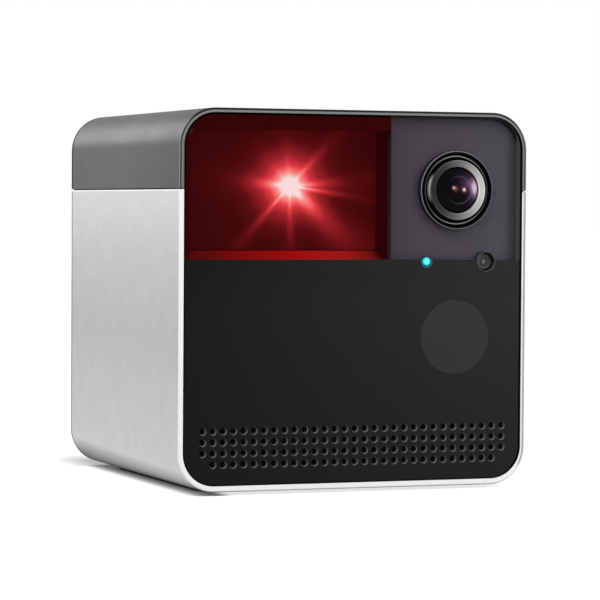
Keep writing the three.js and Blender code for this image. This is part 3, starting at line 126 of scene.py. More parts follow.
class Piece:
    """A mesh that is modelled from a primitive by edit-mode operators, in the part's millimetres."""

    def __init__(self, name: str) -> None:
        """Takes over the object that an operator has just added.

        Args:
            name: the piece's name.
        """
        self.obj = bpy.context.object
        self.obj.name = self.obj.data.name = name
        bpy.ops.object.transform_apply(location=True, rotation=True, scale=True)

    @classmethod
    def block(cls, name: str, low: Point, high: Point) -> "Piece":
        """Starts a piece as a box.

        Args:
            name: the piece's name.
            low: its lowest corner.
            high: its highest corner.

        Returns:
            The new piece.
        """
        free()
        low, high = Vector(low), Vector(high)
        bpy.ops.mesh.primitive_cube_add(size=1, location=to_scene((low + high) / 2), scale=(high - low) * MM)
        return cls(name)

    @classmethod
    def turned(cls, name: str, spot: Spot, profile: Profile, sides: int = 48, axis: Axis = Axis.Y,
               closed: bool = False) -> "Piece":
        """Turns a piece: a circle is extruded and resized from each point of the profile to the next.

        Args:
            name: the piece's name.
            spot: where the axis stands.
            profile: pairs of place along the axis and radius.
            sides: how many sides each ring has.
            axis: the axis it is turned round.
            closed: True where the profile comes back to its first point, as on a ring.

        Returns:
            The new piece, its ends closed by flat faces unless it is a ring.
        """
        free()
        centre, along, turn = Vector((spot[0], 0, spot[1])), Vector(axis.value[0]), axis.value[1]
        place, radius = profile[0]
        bpy.ops.mesh.primitive_circle_add(vertices=sides, radius=radius * MM, fill_type="NOTHING",
                                          rotation=turn, location=to_scene(centre + along * place))
        piece = cls(name).all()
        for (place, radius), (next_place, next_radius) in pairwise(profile):
            step = along * (next_place - place) * MM
            bpy.ops.mesh.extrude_edges_move(TRANSFORM_OT_translate={"value": step})
            if next_radius != radius:
                share = next_radius / radius
                piece.resize([1 if a else share for a in along], centre + along * next_place)
        piece.all()
        if closed:
            bpy.ops.mesh.remove_doubles(threshold=MERGE * MM)
        else:
            bpy.ops.mesh.fill_holes(sides=0)
        return piece

    def only(self) -> "Piece":
        """Goes to object mode with this piece alone selected."""
        free()
        self.obj.select_set(True)
        bpy.context.view_layer.objects.active = self.obj
        return self

    def edit(self) -> "Piece":
        """Goes into edit mode on this piece alone."""
        if bpy.context.mode != "EDIT_MESH" or bpy.context.object is not self.obj:
            self.only()
            bpy.ops.object.mode_set(mode="EDIT")
        return self

    def all(self) -> "Piece":
        """Selects the whole mesh in edit mode."""
        self.edit()
        bpy.ops.mesh.select_mode(type="VERT")
        bpy.ops.mesh.select_all(action="SELECT")
        return self

    def pick(self, kind: Kind, test: Callable[[Any], bool]) -> "Piece":
        """Selects the elements that pass a test.

        Args:
            kind: which elements are asked about.
            test: says of one bmesh element whether it is picked.

        Returns:
            The piece, in edit mode.
        """
        self.edit()
        bpy.ops.mesh.select_mode(type=kind.value[0])
        bpy.ops.mesh.select_all(action="DESELECT")
        mesh = bmesh.from_edit_mesh(self.obj.data)
        for element in getattr(mesh, kind.value[1]):
            element.select_set(bool(test(element)))
        mesh.select_flush_mode()
        bmesh.update_edit_mesh(self.obj.data)
        return self

    def faces(self, test: Callable[[Vector, Vector], bool]) -> "Piece":
        """Selects faces by their middle, in millimetres, and their normal."""
        return self.pick(Kind.FACES, lambda f: test(to_part(f.calc_center_median()), f.normal))

    def edges(self, test: Callable[[Vector, Vector], bool]) -> "Piece":
        """Selects edges by the places of their two ends."""
        return self.pick(Kind.EDGES, lambda e: test(*(to_part(v.co) for v in e.verts)))

    def points(self, test: Callable[[Vector], bool]) -> "Piece":
        """Selects corners by their place."""
        return self.pick(Kind.POINTS, lambda v: test(to_part(v.co)))

    def inset(self, width: float, depth: float = 0.0) -> "Piece":
        """Insets the selected faces by a width, and pushes them in by a depth."""
        bpy.ops.mesh.inset(thickness=width * MM, depth=-depth * MM, use_even_offset=True, use_boundary=True)
        return self

    def extrude(self, x: float, y: float, z: float) -> "Piece":
        """Extrudes the selected faces by a distance along each axis."""
        bpy.ops.mesh.extrude_region_move(TRANSFORM_OT_translate={"value": Vector((x, y, z)) * MM})
        return self

    def bevel(self, width: float, segments: int = 1) -> "Piece":
        """Bevels the selected edges."""
        bpy.ops.mesh.bevel(offset=width * MM, segments=segments, affect="EDGES")
        return self

    def rounded(self, axis: str, corner: float, segments: int,
                where: Callable[[Vector], bool] | None = None) -> "Piece":
        """Rounds a box's edges that run along an axis.

        Args:
            axis: the axis, x, y or z.
            corner: the radius of the rounding.
            segments: how many flats make it up.
            where: says of an edge's end whether the edge is rounded. Without it they all are.

        Returns:
            The piece, in edit mode.
        """
        self.edges(lambda a, b: abs(getattr(a, axis) - getattr(b, axis)) > 0.3
                   and (where is None or where(a)))
        return self.bevel(corner, segments)

    def move(self, x: float, y: float, z: float) -> "Piece":
        """Moves what is selected."""
        bpy.ops.transform.translate(value=Vector((x, y, z)) * MM)
        return self

    def resize(self, shares: Sequence[float], centre: Sequence[float]) -> "Piece":
        """Resizes what is selected about a point."""
        bpy.ops.transform.resize(value=shares, center_override=to_scene(centre))
        return self

    def drop(self) -> "Piece":
        """Deletes the selected faces and leaves their edges."""
        bpy.ops.mesh.delete(type="ONLY_FACE")
        return self

    def bridge(self) -> "Piece":
        """Joins the two open loops of the mesh by a band of faces."""
        self.pick(Kind.EDGES, lambda e: e.is_boundary)
        bpy.ops.mesh.bridge_edge_loops()
        return self

    def trim(self, place: Point, normal: Point) -> "Piece":
        """Cuts off what lies beyond a plane, on the side its normal points to, and closes the cut."""
        self.all()
        bpy.ops.mesh.bisect(plane_co=to_scene(place), plane_no=normal, use_fill=True, clear_outer=True)
        return self

    def copy(self, name: str, shift: Point = (0, 0, 0)) -> "Piece":
        """Copies the piece with its own mesh.

        Args:
            name: the copy's name.
            shift: how far the copy stands from the piece.

        Returns:
            The copy.
        """
        self.only()
        twin = object.__new__(Piece)
        twin.obj = self.obj.copy()
        twin.obj.data = self.obj.data.copy()
        twin.obj.name = twin.obj.data.name = name
        bpy.context.scene.collection.objects.link(twin.obj)
        twin.obj.data.transform(Matrix.Translation(Vector(shift) * MM))
        return twin

    def remove(self) -> None:
        """Removes the piece, as is done with a pattern after its last copy and with a used cutter."""
        bpy.data.objects.remove(self.obj)

    def modifier(self, kind: str, **settings: Any) -> "Piece":
        """Adds a modifier with its settings and applies it."""
        self.only()
        added = self.obj.modifiers.new(kind.lower(), kind)
        for key, value in settings.items():
            setattr(added, key, value)
        bpy.ops.object.modifier_apply(modifier=added.name)
        return self

    def repeat(self, count: int, step: Point) -> "Piece":
        """Repeats the mesh in a row, with a step from each to the next."""
        return self.modifier("ARRAY", count=count, use_relative_offset=False, use_constant_offset=True,
                             constant_offset_displace=Vector(step) * MM)

    def carve(self, *cutters: "Piece") -> "Piece":
        """Takes the cutters' room out of the piece, and removes the cutters."""
        return self.combine("DIFFERENCE", cutters)

    def weld(self, *others: "Piece") -> "Piece":
        """Adds other pieces to this one, and removes them."""
        return self.combine("UNION", others)

    def combine(self, operation: str, others: Sequence["Piece"]) -> "Piece":
        """Runs one boolean after another with pieces that are then removed."""
        for other in others:
            other.outward()
            self.modifier("BOOLEAN", operation=operation, solver="EXACT", object=other.obj)
            other.remove()
        return self

    def soften(self, width: float, segments: int = 2, angle: float = 35.0) -> "Piece":
        """Rounds every edge that is sharper than an angle."""
        return self.modifier("BEVEL", width=width * MM, segments=segments, limit_method="ANGLE",
                             angle_limit=math.radians(angle), use_clamp_overlap=True)

    def outward(self) -> "Piece":
        """Merges doubles and turns every face outwards."""
        self.all()
        bpy.ops.mesh.remove_doubles(threshold=MERGE * MM)
        bpy.ops.mesh.normals_make_consistent(inside=False)
        return self.only()

    def done(self, material: Material, slot: str, *nodes: str, body: str = "root",
             angle: float = 30.0) -> "Piece":
        """Closes the modelling: normals, shading, material, body and the nodes the piece stands for.

        Args:
            material: the finish.
            slot: not used.
            nodes: the part's nodes that it replaces.
            body: the body it rides on.
            angle: edges flatter than this, in degrees, are shaded smooth.

        Returns:
            The finished piece.
        """
        self.outward()
        bpy.ops.object.shade_smooth_by_angle(angle=math.radians(angle))
        self.obj.data.materials.clear()
        self.obj.data.materials.append(material)
        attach(self.obj, body)
        if nodes:
            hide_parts(*nodes)
        log.info("%s: %d faces, rides %s", self.obj.name, len(self.obj.data.polygons), body)
        return self


def operator(operation: str, reflected: bool = False) -> Callable[["Sock", "Sock | float"], "Sock"]:
    """Makes an operator of Sock.

    Args:
        operation: the Math node's operation.
        reflected: True where the socket stands second, as in 1 - mask.

    Returns:
        The method that the operator calls.
    """
    def method(self: "Sock", other: "Sock | float") -> "Sock":
        """A Math node of the two values."""
        return self.graph.math(operation, *((other, self) if reflected else (self, other)))
    return method


class Sock:
    """A value in a material's node tree, which arithmetic turns into Math nodes."""

    __add__, __radd__ = operator("ADD"), operator("ADD", True)
    __sub__, __rsub__ = operator("SUBTRACT"), operator("SUBTRACT", True)
    __mul__, __rmul__ = operator("MULTIPLY"), operator("MULTIPLY", True)
    __truediv__, __rtruediv__ = operator("DIVIDE"), operator("DIVIDE", True)
    __pow__, __rpow__ = operator("POWER"), operator("POWER", True)
    most, least = operator("MAXIMUM"), operator("MINIMUM")

    def __init__(self, graph: "Graph", end: bpy.types.NodeSocket) -> None:
        """Wraps an output socket of a graph."""
        self.graph = graph
        self.end = end

    def __neg__(self) -> "Sock":
        """Its negative."""
        return self * -1.0

    def __abs__(self) -> "Sock":
        """Its size without its sign."""
        return self.math("ABSOLUTE")

    def math(self, operation: str, *values: "Sock | float", clamp: bool = False) -> "Sock":
        """A Math node of this value and up to two others."""
        return self.graph.math(operation, self, *values, clamp=clamp)

    def clamp(self) -> "Sock":
        """Kept between 0 and 1."""
        return self.math("ADD", 0.0, clamp=True)

    def bell(self, width: float) -> "Sock":
        """1 where the value is 0, falling to 1/e at the width on both sides."""
        share = self / width
        return (-(share * share)).math("EXPONENT")

    def below(self, limit: "Sock | float", soft: float = SOFT) -> "Sock":
        """1 below a limit and 0 above it, over a soft edge of that width."""
        return ((limit - self) / soft + 0.5).clamp()

    def above(self, limit: "Sock | float", soft: float = SOFT) -> "Sock":
        """0 below a limit and 1 above it, over a soft edge of that width."""
        return ((self - limit) / soft + 0.5).clamp()


class Graph:
    """The node tree of a new material or world, with one method that adds any node."""

    def __init__(self, name: str, store: str = "materials") -> None:
        """Starts an empty tree.

        Args:
            name: the name of the material or world.
            store: which of them it is, by the name of their collection.
        """
        self.owner = getattr(bpy.data, store).new(name)
        self.owner.use_nodes = True
        self.tree = self.owner.node_tree
        self.tree.nodes.clear()

    def node(self, kind: str, settings: dict[str, Any] | None = None,
             inputs: dict[int | str, Any] | None = None) -> bpy.types.Node:
        """Adds a node.

        Args:
            kind: the node's type without its ShaderNode prefix.
            settings: its properties, and under stops the places and colours of a ramp.
            inputs: values or links of its sockets, by name or number.

        Returns:
            The node.
        """
        made = self.tree.nodes.new("ShaderNode" + kind)
        for key, value in (settings or {}).items():
            if key == "stops":
                ramp = made.color_ramp.elements
                ramp.remove(ramp[1])
                ramp[0].position, ramp[0].color = value[0]
                for place, colour in value[1:]:
                    ramp.new(place).color = colour
            else:
                setattr(made, key, value)
        for key, value in (inputs or {}).items():
            if isinstance(value, Sock):
                self.tree.links.new(value.end, made.inputs[key])
            else:
                made.inputs[key].default_value = value
        return made

    def sock(self, kind: str, settings: dict[str, Any] | None = None,
             inputs: dict[int | str, Any] | None = None, output: int | str = 0) -> Sock:
        """Adds a node and wraps one of its outputs."""
        return Sock(self, self.node(kind, settings, inputs).outputs[output])

    def math(self, operation: str, *values: "Sock | float", clamp: bool = False) -> Sock:
        """Adds a Math node of the given values."""
        return self.sock("Math", {"operation": operation, "use_clamp": clamp}, dict(enumerate(values)))

    def place(self) -> tuple[Sock, Sock, Sock]:
        """The shaded point's place in the part's millimetres, as three values."""
        split = self.node("SeparateXYZ", inputs={0: self.sock("TexCoord", output="Object")})
        return tuple(Sock(self, split.outputs[i]) / MM - DATUM[i] / MM for i in range(3))

    def noise(self, size: float, stretch: Point = (1, 1, 1), detail: float = 2.0,
              rough: float = 0.5) -> Sock:
        """Noise of about 0 to 1 whose grain has that size in millimetres, stretched along the axes."""
        scaled = self.sock("Mapping", {"vector_type": "POINT"}, {
            0: self.sock("TexCoord", output="Object"), 3: tuple(1 / (size * MM * s) for s in stretch)})
        return self.sock("TexNoise", None, {
            "Vector": scaled, "Scale": 1.0, "Detail": detail, "Roughness": rough}, "Fac")

    def mix(self, share: "Sock | float", low: "Sock | Colour", high: "Sock | Colour") -> Sock:
        """A mix of two colours."""
        low, high = (c if isinstance(c, Sock) else linear(c) for c in (low, high))
        return self.sock("Mix", {"data_type": "RGBA"}, {0: share, 6: low, 7: high}, 2)

    def layers(self, base: "Sock | Colour", *over: tuple[Sock, "Sock | Colour"]) -> Sock:
        """Lays colours over a base one after another, each by the share that stands before it."""
        for share, colour in over:
            base = self.mix(share, base, colour)
        return base

    def ramp(self, share: Sock, *stops: tuple[float, Colour]) -> Sock:
        """A colour that changes with a value through stops of place and colour."""
        settings = {"stops": [(place, linear(colour)) for place, colour in stops]}
        return self.sock("ValToRGB", settings, {0: share})

    def bump(self, height: Sock, depth: float) -> Sock:
        """A normal roughened by a height of 0 to 1 that is worth that depth in millimetres."""
        return self.sock("Bump", None, {"Height": height, "Distance": depth * MM})

    def skin(self, **inputs: Any) -> Sock:
        """A Principled surface with those inputs, an underscore standing for a space in a name."""
        named = {key.replace("_", " "): value for key, value in inputs.items()}
        return self.sock("BsdfPrincipled", None, named)

    def close(self, surface: Sock, output: str = "OutputMaterial") -> Any:
        """Joins a surface to the output and gives the material or world."""
        self.node(output, inputs={0: surface})
        return self.owner

    def finish(self, **inputs: Any) -> Material:
        """Closes the tree with one Principled surface of those inputs."""
        return self.close(self.skin(**inputs))

    def seen(self) -> Sock:
        """1 for rays of the camera and those seen in a mirror or through glass, and 0 for the rest."""
        path = self.node("LightPath")
        camera, gloss, glass = (
            Sock(self, path.outputs[f"Is {kind} Ray"]) for kind in ("Camera", "Glossy", "Transmission"))
        return (camera + gloss + glass).clamp()


def edge_depth(x: Any, z: Any, most: Callable = Sock.most, least: Callable = Sock.least) -> Any:
    """How far inside the housing's rounded square outline a spot lies.

    Args:
        x: its place across, as a value of a material or a number.
        z: its height, likewise.
        most: gives the larger of two of them.
        least: gives the smaller.

    Returns:
        The distance to the outline in millimetres, negative outside it.
    """
    across, up = abs(x) - (HALF - CORNER), abs(z - HEIGHT / 2) - (HEIGHT / 2 - CORNER)
    over, above = most(across, 0), most(up, 0)
    return CORNER - (over * over + above * above) ** 0.5 - least(most(across, up), 0)


def outline_depth(point: Vector) -> float:
    """The same depth for a point of a mesh."""
    return edge_depth(point.x, point.z, max, min)


def distance(x: Sock, z: Sock, centre: Spot) -> Sock:
    """How far a shaded point of the front is from a centre, in millimetres."""
    across, up = x - centre[0], z - centre[1]
    return (across * across + up * up) ** 0.5


@dataclass(frozen=True)
class Finish:
    """A plain finish: a colour and a roughness that drift between two values each, and a fine relief."""

    name: str
    light: Colour
    dark: Colour
    roughness: tuple[float, float] = (0.4, 0.55)
    metallic: float = 0.0
    grain: float = 0.35
    patch: float = 6.0
    relief: float = 0.012
    stretch: Point = (1, 1, 1)
    coat: float = 0.0

    def material(self) -> Material:
        """The finish as a material, made once and then shared.

        Returns:
            The material of this finish's name.
        """
        known = bpy.data.materials.get(self.name)
        if known:
            return known
        graph = Graph(self.name)
        patch, grain = graph.noise(self.patch, self.stretch, 3), graph.noise(self.grain, self.stretch, 2)
        low, high = self.roughness
        return graph.finish(
            Base_Color=graph.mix((patch * 0.7 + grain * 0.6 - 0.15).clamp(), self.dark, self.light),
            Roughness=patch * (high - low) + low, Metallic=self.metallic, Coat_Weight=self.coat,
            Normal=graph.bump(grain, self.relief))


MOULDED = Finish("moulded black", (34, 34, 36), (20, 20, 22), (0.42, 0.6), grain=0.25, relief=0.02)
RUBBER = Finish("foot rubber", cool(38), cool(26), (0.75, 0.9), grain=0.2, relief=0.05)
BRASS = Finish("insert brass", (214, 176, 100), (182, 140, 70), (0.22, 0.38), 1.0, stretch=(6, 6, 0.3))
STEEL = Finish("bright steel", (196, 198, 202), (160, 162, 166), (0.2, 0.35), 1.0, stretch=(1, 1, 4))
NYLON = Finish("gear nylon", (232, 228, 214), (214, 208, 190), (0.35, 0.5))
BOARD = Finish("board green", (34, 92, 52), (18, 62, 34), (0.3, 0.45), coat=0.4, grain=0.5)
CHIP = Finish("chip black", (40, 40, 42), (24, 24, 26), (0.45, 0.6))
SPREADER = Finish("spreader aluminium", (196, 198, 200), (170, 172, 174), (0.3, 0.45), 1.0,
                  stretch=(8, 1, 1))
PAPER = Finish("speaker paper", (52, 52, 54), (36, 36, 38), (0.7, 0.9), grain=0.15, relief=0.06)
CLOTH = Finish("speaker cloth", cool(26), cool(12), (0.8, 0.95), grain=0.12, relief=0.08)
EMITTER = Finish("laser emitter", (150, 60, 60), (120, 40, 40), (0.1, 0.2))
CLEAR = Finish("infrared clear", (92, 86, 104), (70, 64, 84), (0.08, 0.15))
DARK = Finish("infrared dark", (40, 36, 42), (30, 27, 32), (0.1, 0.18))
GLASS = Finish("inner glass", (30, 24, 44), (18, 14, 30), (0.03, 0.06), coat=1.0)

NODE_FINISHES = {
    MOULDED: "lens_holder speaker_frame front_frame motor_plate pan_yoke tilt_cradle",
    BRASS: "pan_bushing laser_module",
    STEEL: "pan_motor tilt_motor pan_shaft speaker_magnet microphone "
           "board_screw_1 board_screw_2 board_screw_3 board_screw_4",
    NYLON: "pan_gear pan_pinion tilt_gear tilt_pinion",
    BOARD: "main_board camera_board sensor_board radio_module",
    CHIP: "processor image_sensor reset_switch",
    SPREADER: "heat_spreader",
    PAPER: "speaker_cone",
    CLOTH: "speaker_mesh",
    EMITTER: "laser_lens",
    CLEAR: "infrared_led_1 infrared_led_2 status_led",
    DARK: "infrared_window",
    GLASS: "lens_inner_element",
}


@dataclass
class Housing:
    """The rounded square tube, parted into an aluminium shell and a dark grey cover."""

    wall: float = 2.2
    rim: float = 1.12
    pocket: float = 4.0
    lift: float = 0.15
    spread: float = 0.1
    split: float = 64.6
    seam: float = 0.25
    front_edge: float = 0.3
    seam_edge: float = 0.22
    rear_edge: float = 0.15
    lip_inset: float = 0.4
    cover_slope: float = 0.3
    foot_gap: float = 0.1
    foot_corner: float = 6.1
    insert_bore: float = 5.1
    cutter_low: float = -2.0
    blast: float = 0.26
    paint_grain: float = 0.24
    # Painted light and shade: painted shade bands at the rear edge, the top, the rear left corner, the foot
    # and the very bottom; where the rim's painted highlight starts at the left and at the right; where the
    # cover's edge highlight stops at the top; the side's painted shade by height; and the lit and shaded
    # tones of the shell's rim and the cover's front edge.
    rear_shade_band: float = 1.1
    crown_shade: float = 1.7
    corner_shade: Spot = (-33.0, 37.8)
    foot_shade: tuple[float, float, float] = (2.0, 2.2, 4.6)
    contact_shade: tuple[float, float] = (0.3, 4.6)
    left_highlight_from: float = -38.4
    right_highlight_from: float = 38.8
    edge_highlight_top: float = 79.5
    shade_heights: tuple[float, ...] = (0.06, 0.5, 0.94)
    dark_tones: tuple[int, ...] = (170, 153, 160)
    light_tones: tuple[int, ...] = (210, 191, 199)
    rim_light_stops: tuple[tuple[float, Colour], ...] = ((0.0, cool(172)), (0.6, cool(182)), (0.76, WHITE))
    face_light_stops: tuple[tuple[float, Colour], ...] = (
        (0.18, cool(12)), (0.38, cool(20)), (0.48, cool(134)), (1.0, cool(112)))

    def tube(self, name: str) -> Piece:
        """The whole tube, open from front to back, the front rim's inner edge raised and widened by a hair.

        Args:
            name: the piece's name.

        Returns:
            The tube.
        """
        piece = Piece.block(name, (-HALF, -REACH, 0), (HALF, REACH, HEIGHT)).rounded("y", CORNER, 16)
        for side in (-1, 1):
            piece.faces(lambda c, n: n.y * side > SQUARE_ON).inset(self.rim)
            piece.extrude(0, -side * self.pocket, 0).inset(self.wall - self.rim)
        piece.faces(lambda c, n: abs(n.y) > SQUARE_ON and outline_depth(c) > 10).drop().bridge()
        piece.points(lambda p: p.y < TOUCH + self.pocket - REACH and abs(outline_depth(p) - self.rim) < 0.05)
        width = HALF - self.rim
        return piece.move(0, 0, self.lift).resize(((width + self.spread) / width, 1, 1), (0, 0, 0))

    def on_outline(self, *points: Vector) -> bool:
        """Says whether points all lie on the outer edge of the front or the rear."""
        return all(abs(abs(p.y) - REACH) < TOUCH and outline_depth(p) < TOUCH for p in points)

    def shell(self) -> Piece:
        """The aluminium shell: the tube below the seam, with a cut front edge and the foot's pocket."""
        piece = self.tube("aluminium_shell").trim((0, 0, self.split), (0, 0, 1))
        piece.edges(lambda a, b: self.on_outline(a, b) and abs(a.y - b.y) < TOUCH).bevel(self.front_edge)
        piece.edges(lambda a, b: min(a.z, b.z) > self.split - TOUCH and min(abs(a.x), abs(b.x)) > HALF - 0.5)
        piece.bevel(self.seam_edge, 2)
        wide, deep = (size + self.foot_gap for size in FOOT_HALF)
        pocket = Piece.block("pocket", (-wide, -deep, self.cutter_low), (wide, deep, FOOT_TOP))
        bore = Piece.turned("bore", MIDDLE, [(self.cutter_low, self.insert_bore), (4, self.insert_bore)], 64,
                            Axis.Z)
        return piece.carve(pocket.rounded("z", self.foot_corner, 10), bore)

    def cover(self) -> Piece:
        """The grey cover: the tube above the seam, its front edge sloped, with a lip that fills the seam."""
        piece = self.tube("grey_cover").trim((0, 0, self.split + self.seam), (0, 0, -1))
        piece.points(lambda p: p.y < 0 and self.on_outline(p)).move(0, self.cover_slope, 0)
        piece.faces(lambda c, n: n.z < -SQUARE_ON and c.z < self.split + 1).inset(self.lip_inset)
        piece.extrude(0, 0, TOUCH - self.seam)
        return piece.edges(lambda a, b: min(a.y, b.y) > 0 and self.on_outline(a, b)).bevel(self.rear_edge, 2)

    def build(self) -> None:
        """Builds and dresses both halves."""
        self.shell().done(self.aluminium(), "shell_aluminium", "lower_shell")
        self.cover().done(self.painted_grey(), "cover_grey", "top_cover")

    def aluminium(self) -> Material:
        """Bead-blasted aluminium, with painted light and shade: the cut front rim bright with painted
        highlights, painted shade at the wall's foot, rear edge and rear left corner, and the inside painted
        black as shade.
        """
        graph = Graph("blasted aluminium")
        x, y, z = graph.place()
        grain, patch = graph.noise(self.blast, detail=3, rough=0.7), graph.noise(5, detail=3)
        depth = edge_depth(x, z)
        outside, ahead = depth.below(0.1), y.below(REACH - 0.1)
        # Painted highlight: the rim's bright band reaches back over the chamfer at the foot and at the left,
        # and a painted highlight line runs just under the seam.
        left = x.below(self.left_highlight_from, 1.5) * depth.below(0.5)
        rim = y.below(z.below(4, 3) * 0.16 + left * 0.3 + (0.03 - REACH), 0.04)
        # The inside of the pocket is painted black as shade.
        inside = depth.above(self.rim - 0.14, 0.03) * (1 - rim)
        rim = rim.most(z.above(self.split - 0.28) * depth.below(self.front_edge))
        # Painted light on the rim: a grey chamfer, a white lip, and all white at the right.
        bright = graph.ramp((depth / (self.rim - SOFT)).clamp(), *self.rim_light_stops)
        # Painted shade: the side's tone changes with height.
        dark, light = (graph.ramp((z / self.split).clamp(), *zip(self.shade_heights, map(cool, tones)))
                       for tones in (self.dark_tones, self.light_tones))
        # Painted shade: darker towards the foot, at the rear edge, along the very bottom and at the rear
        # left corner.
        low, rise, soft = self.foot_shade
        foot = z.below(((y + REACH) / (2 * REACH)).clamp() * rise + low, soft) * ahead
        corner = y.above(self.corner_shade[1], 3) * x.below(self.corner_shade[0], 2) * outside
        contact, contact_rise = self.contact_shade
        tone = graph.layers(
            graph.mix((grain * 1.1 + patch * 0.5 - 0.3).clamp(), dark, light),
            (foot, cool(74)),
            (y.above(REACH - self.rear_shade_band, 0.4) * outside, cool(112)),
            (z.below(corner * contact_rise + contact, 0.5) * ahead, cool(26)),
            (rim, graph.mix(x.above(self.right_highlight_from, 1), WHITE, bright)),
            (inside, 3))
        return graph.finish(
            Base_Color=tone, Metallic=(1 - rim * 0.8) * (1 - inside),
            Roughness=0.42 + patch * 0.08 + inside * 0.4, Normal=graph.bump(grain, 0.02))

    def painted_grey(self) -> Material:
        """Satin dark grey with a fine grain and painted light and shade: a stepped front edge with a painted
        highlight line and a painted dark band, painted shade towards the rear and along the top, the inside
        and the seam's lip painted dark as shade, and a matt band of painted shade along the rear edge.
        """
        graph = Graph("satin grey")
        x, y, z = graph.place()
        grain, patch = graph.noise(self.paint_grain, detail=3, rough=0.7), graph.noise(6, detail=3)
        depth = edge_depth(x, z)
        speckle = (grain * 0.8 + patch * 0.6 - 0.2).clamp()
        share = (depth / self.rim).clamp()
        # Painted light on the front edge: a highlight line on the sides that turns dark at the top, a dark
        # band and a lit grey lip.
        face = graph.layers(
            graph.ramp(share, *self.face_light_stops),
            (share.below(self.face_light_stops[0][0], 0.08),
             graph.mix(z.above(self.edge_highlight_top, 1.5), cool(150), cool(30))))
        # The inside and the lip in the seam are painted dark as shade.
        inside = depth.above(0.96 - z.below(76, 3) * 0.04, 0.03) * y.above(0.03 - REACH, 0.03)
        dark = inside.most(z.below(self.split + self.seam - 0.02, 0.02))
        # Painted shade: darker towards the rear, and a dark band along the top.
        tone = graph.layers(
            graph.mix(speckle, cool(52), cool(66)),
            (((y + REACH) / (2 * REACH)).clamp(), graph.mix(speckle, cool(22), cool(34))),
            ((z - HEIGHT).bell(self.crown_shade), 6),
            (y.below(self.cover_slope + 0.02 - REACH, 0.05), face),
            (dark, 2))
        skin = graph.skin(Base_Color=tone, Roughness=0.38 + patch * 0.08 + dark * 0.3,
                          Specular_IOR_Level=0.2, Normal=graph.bump(grain, 0.015))
        matt = graph.skin(Base_Color=graph.mix(speckle, cool(28), cool(36)), Roughness=0.9,
                          Specular_IOR_Level=0.0)
        # Painted shade: a dark matt band along the rear edge.
        edge = y.above(REACH - self.rear_shade_band, 0.3) * depth.below(0.2) * 0.85
        return graph.close(graph.sock("MixShader", None, {0: edge, 1: skin, 2: matt}))


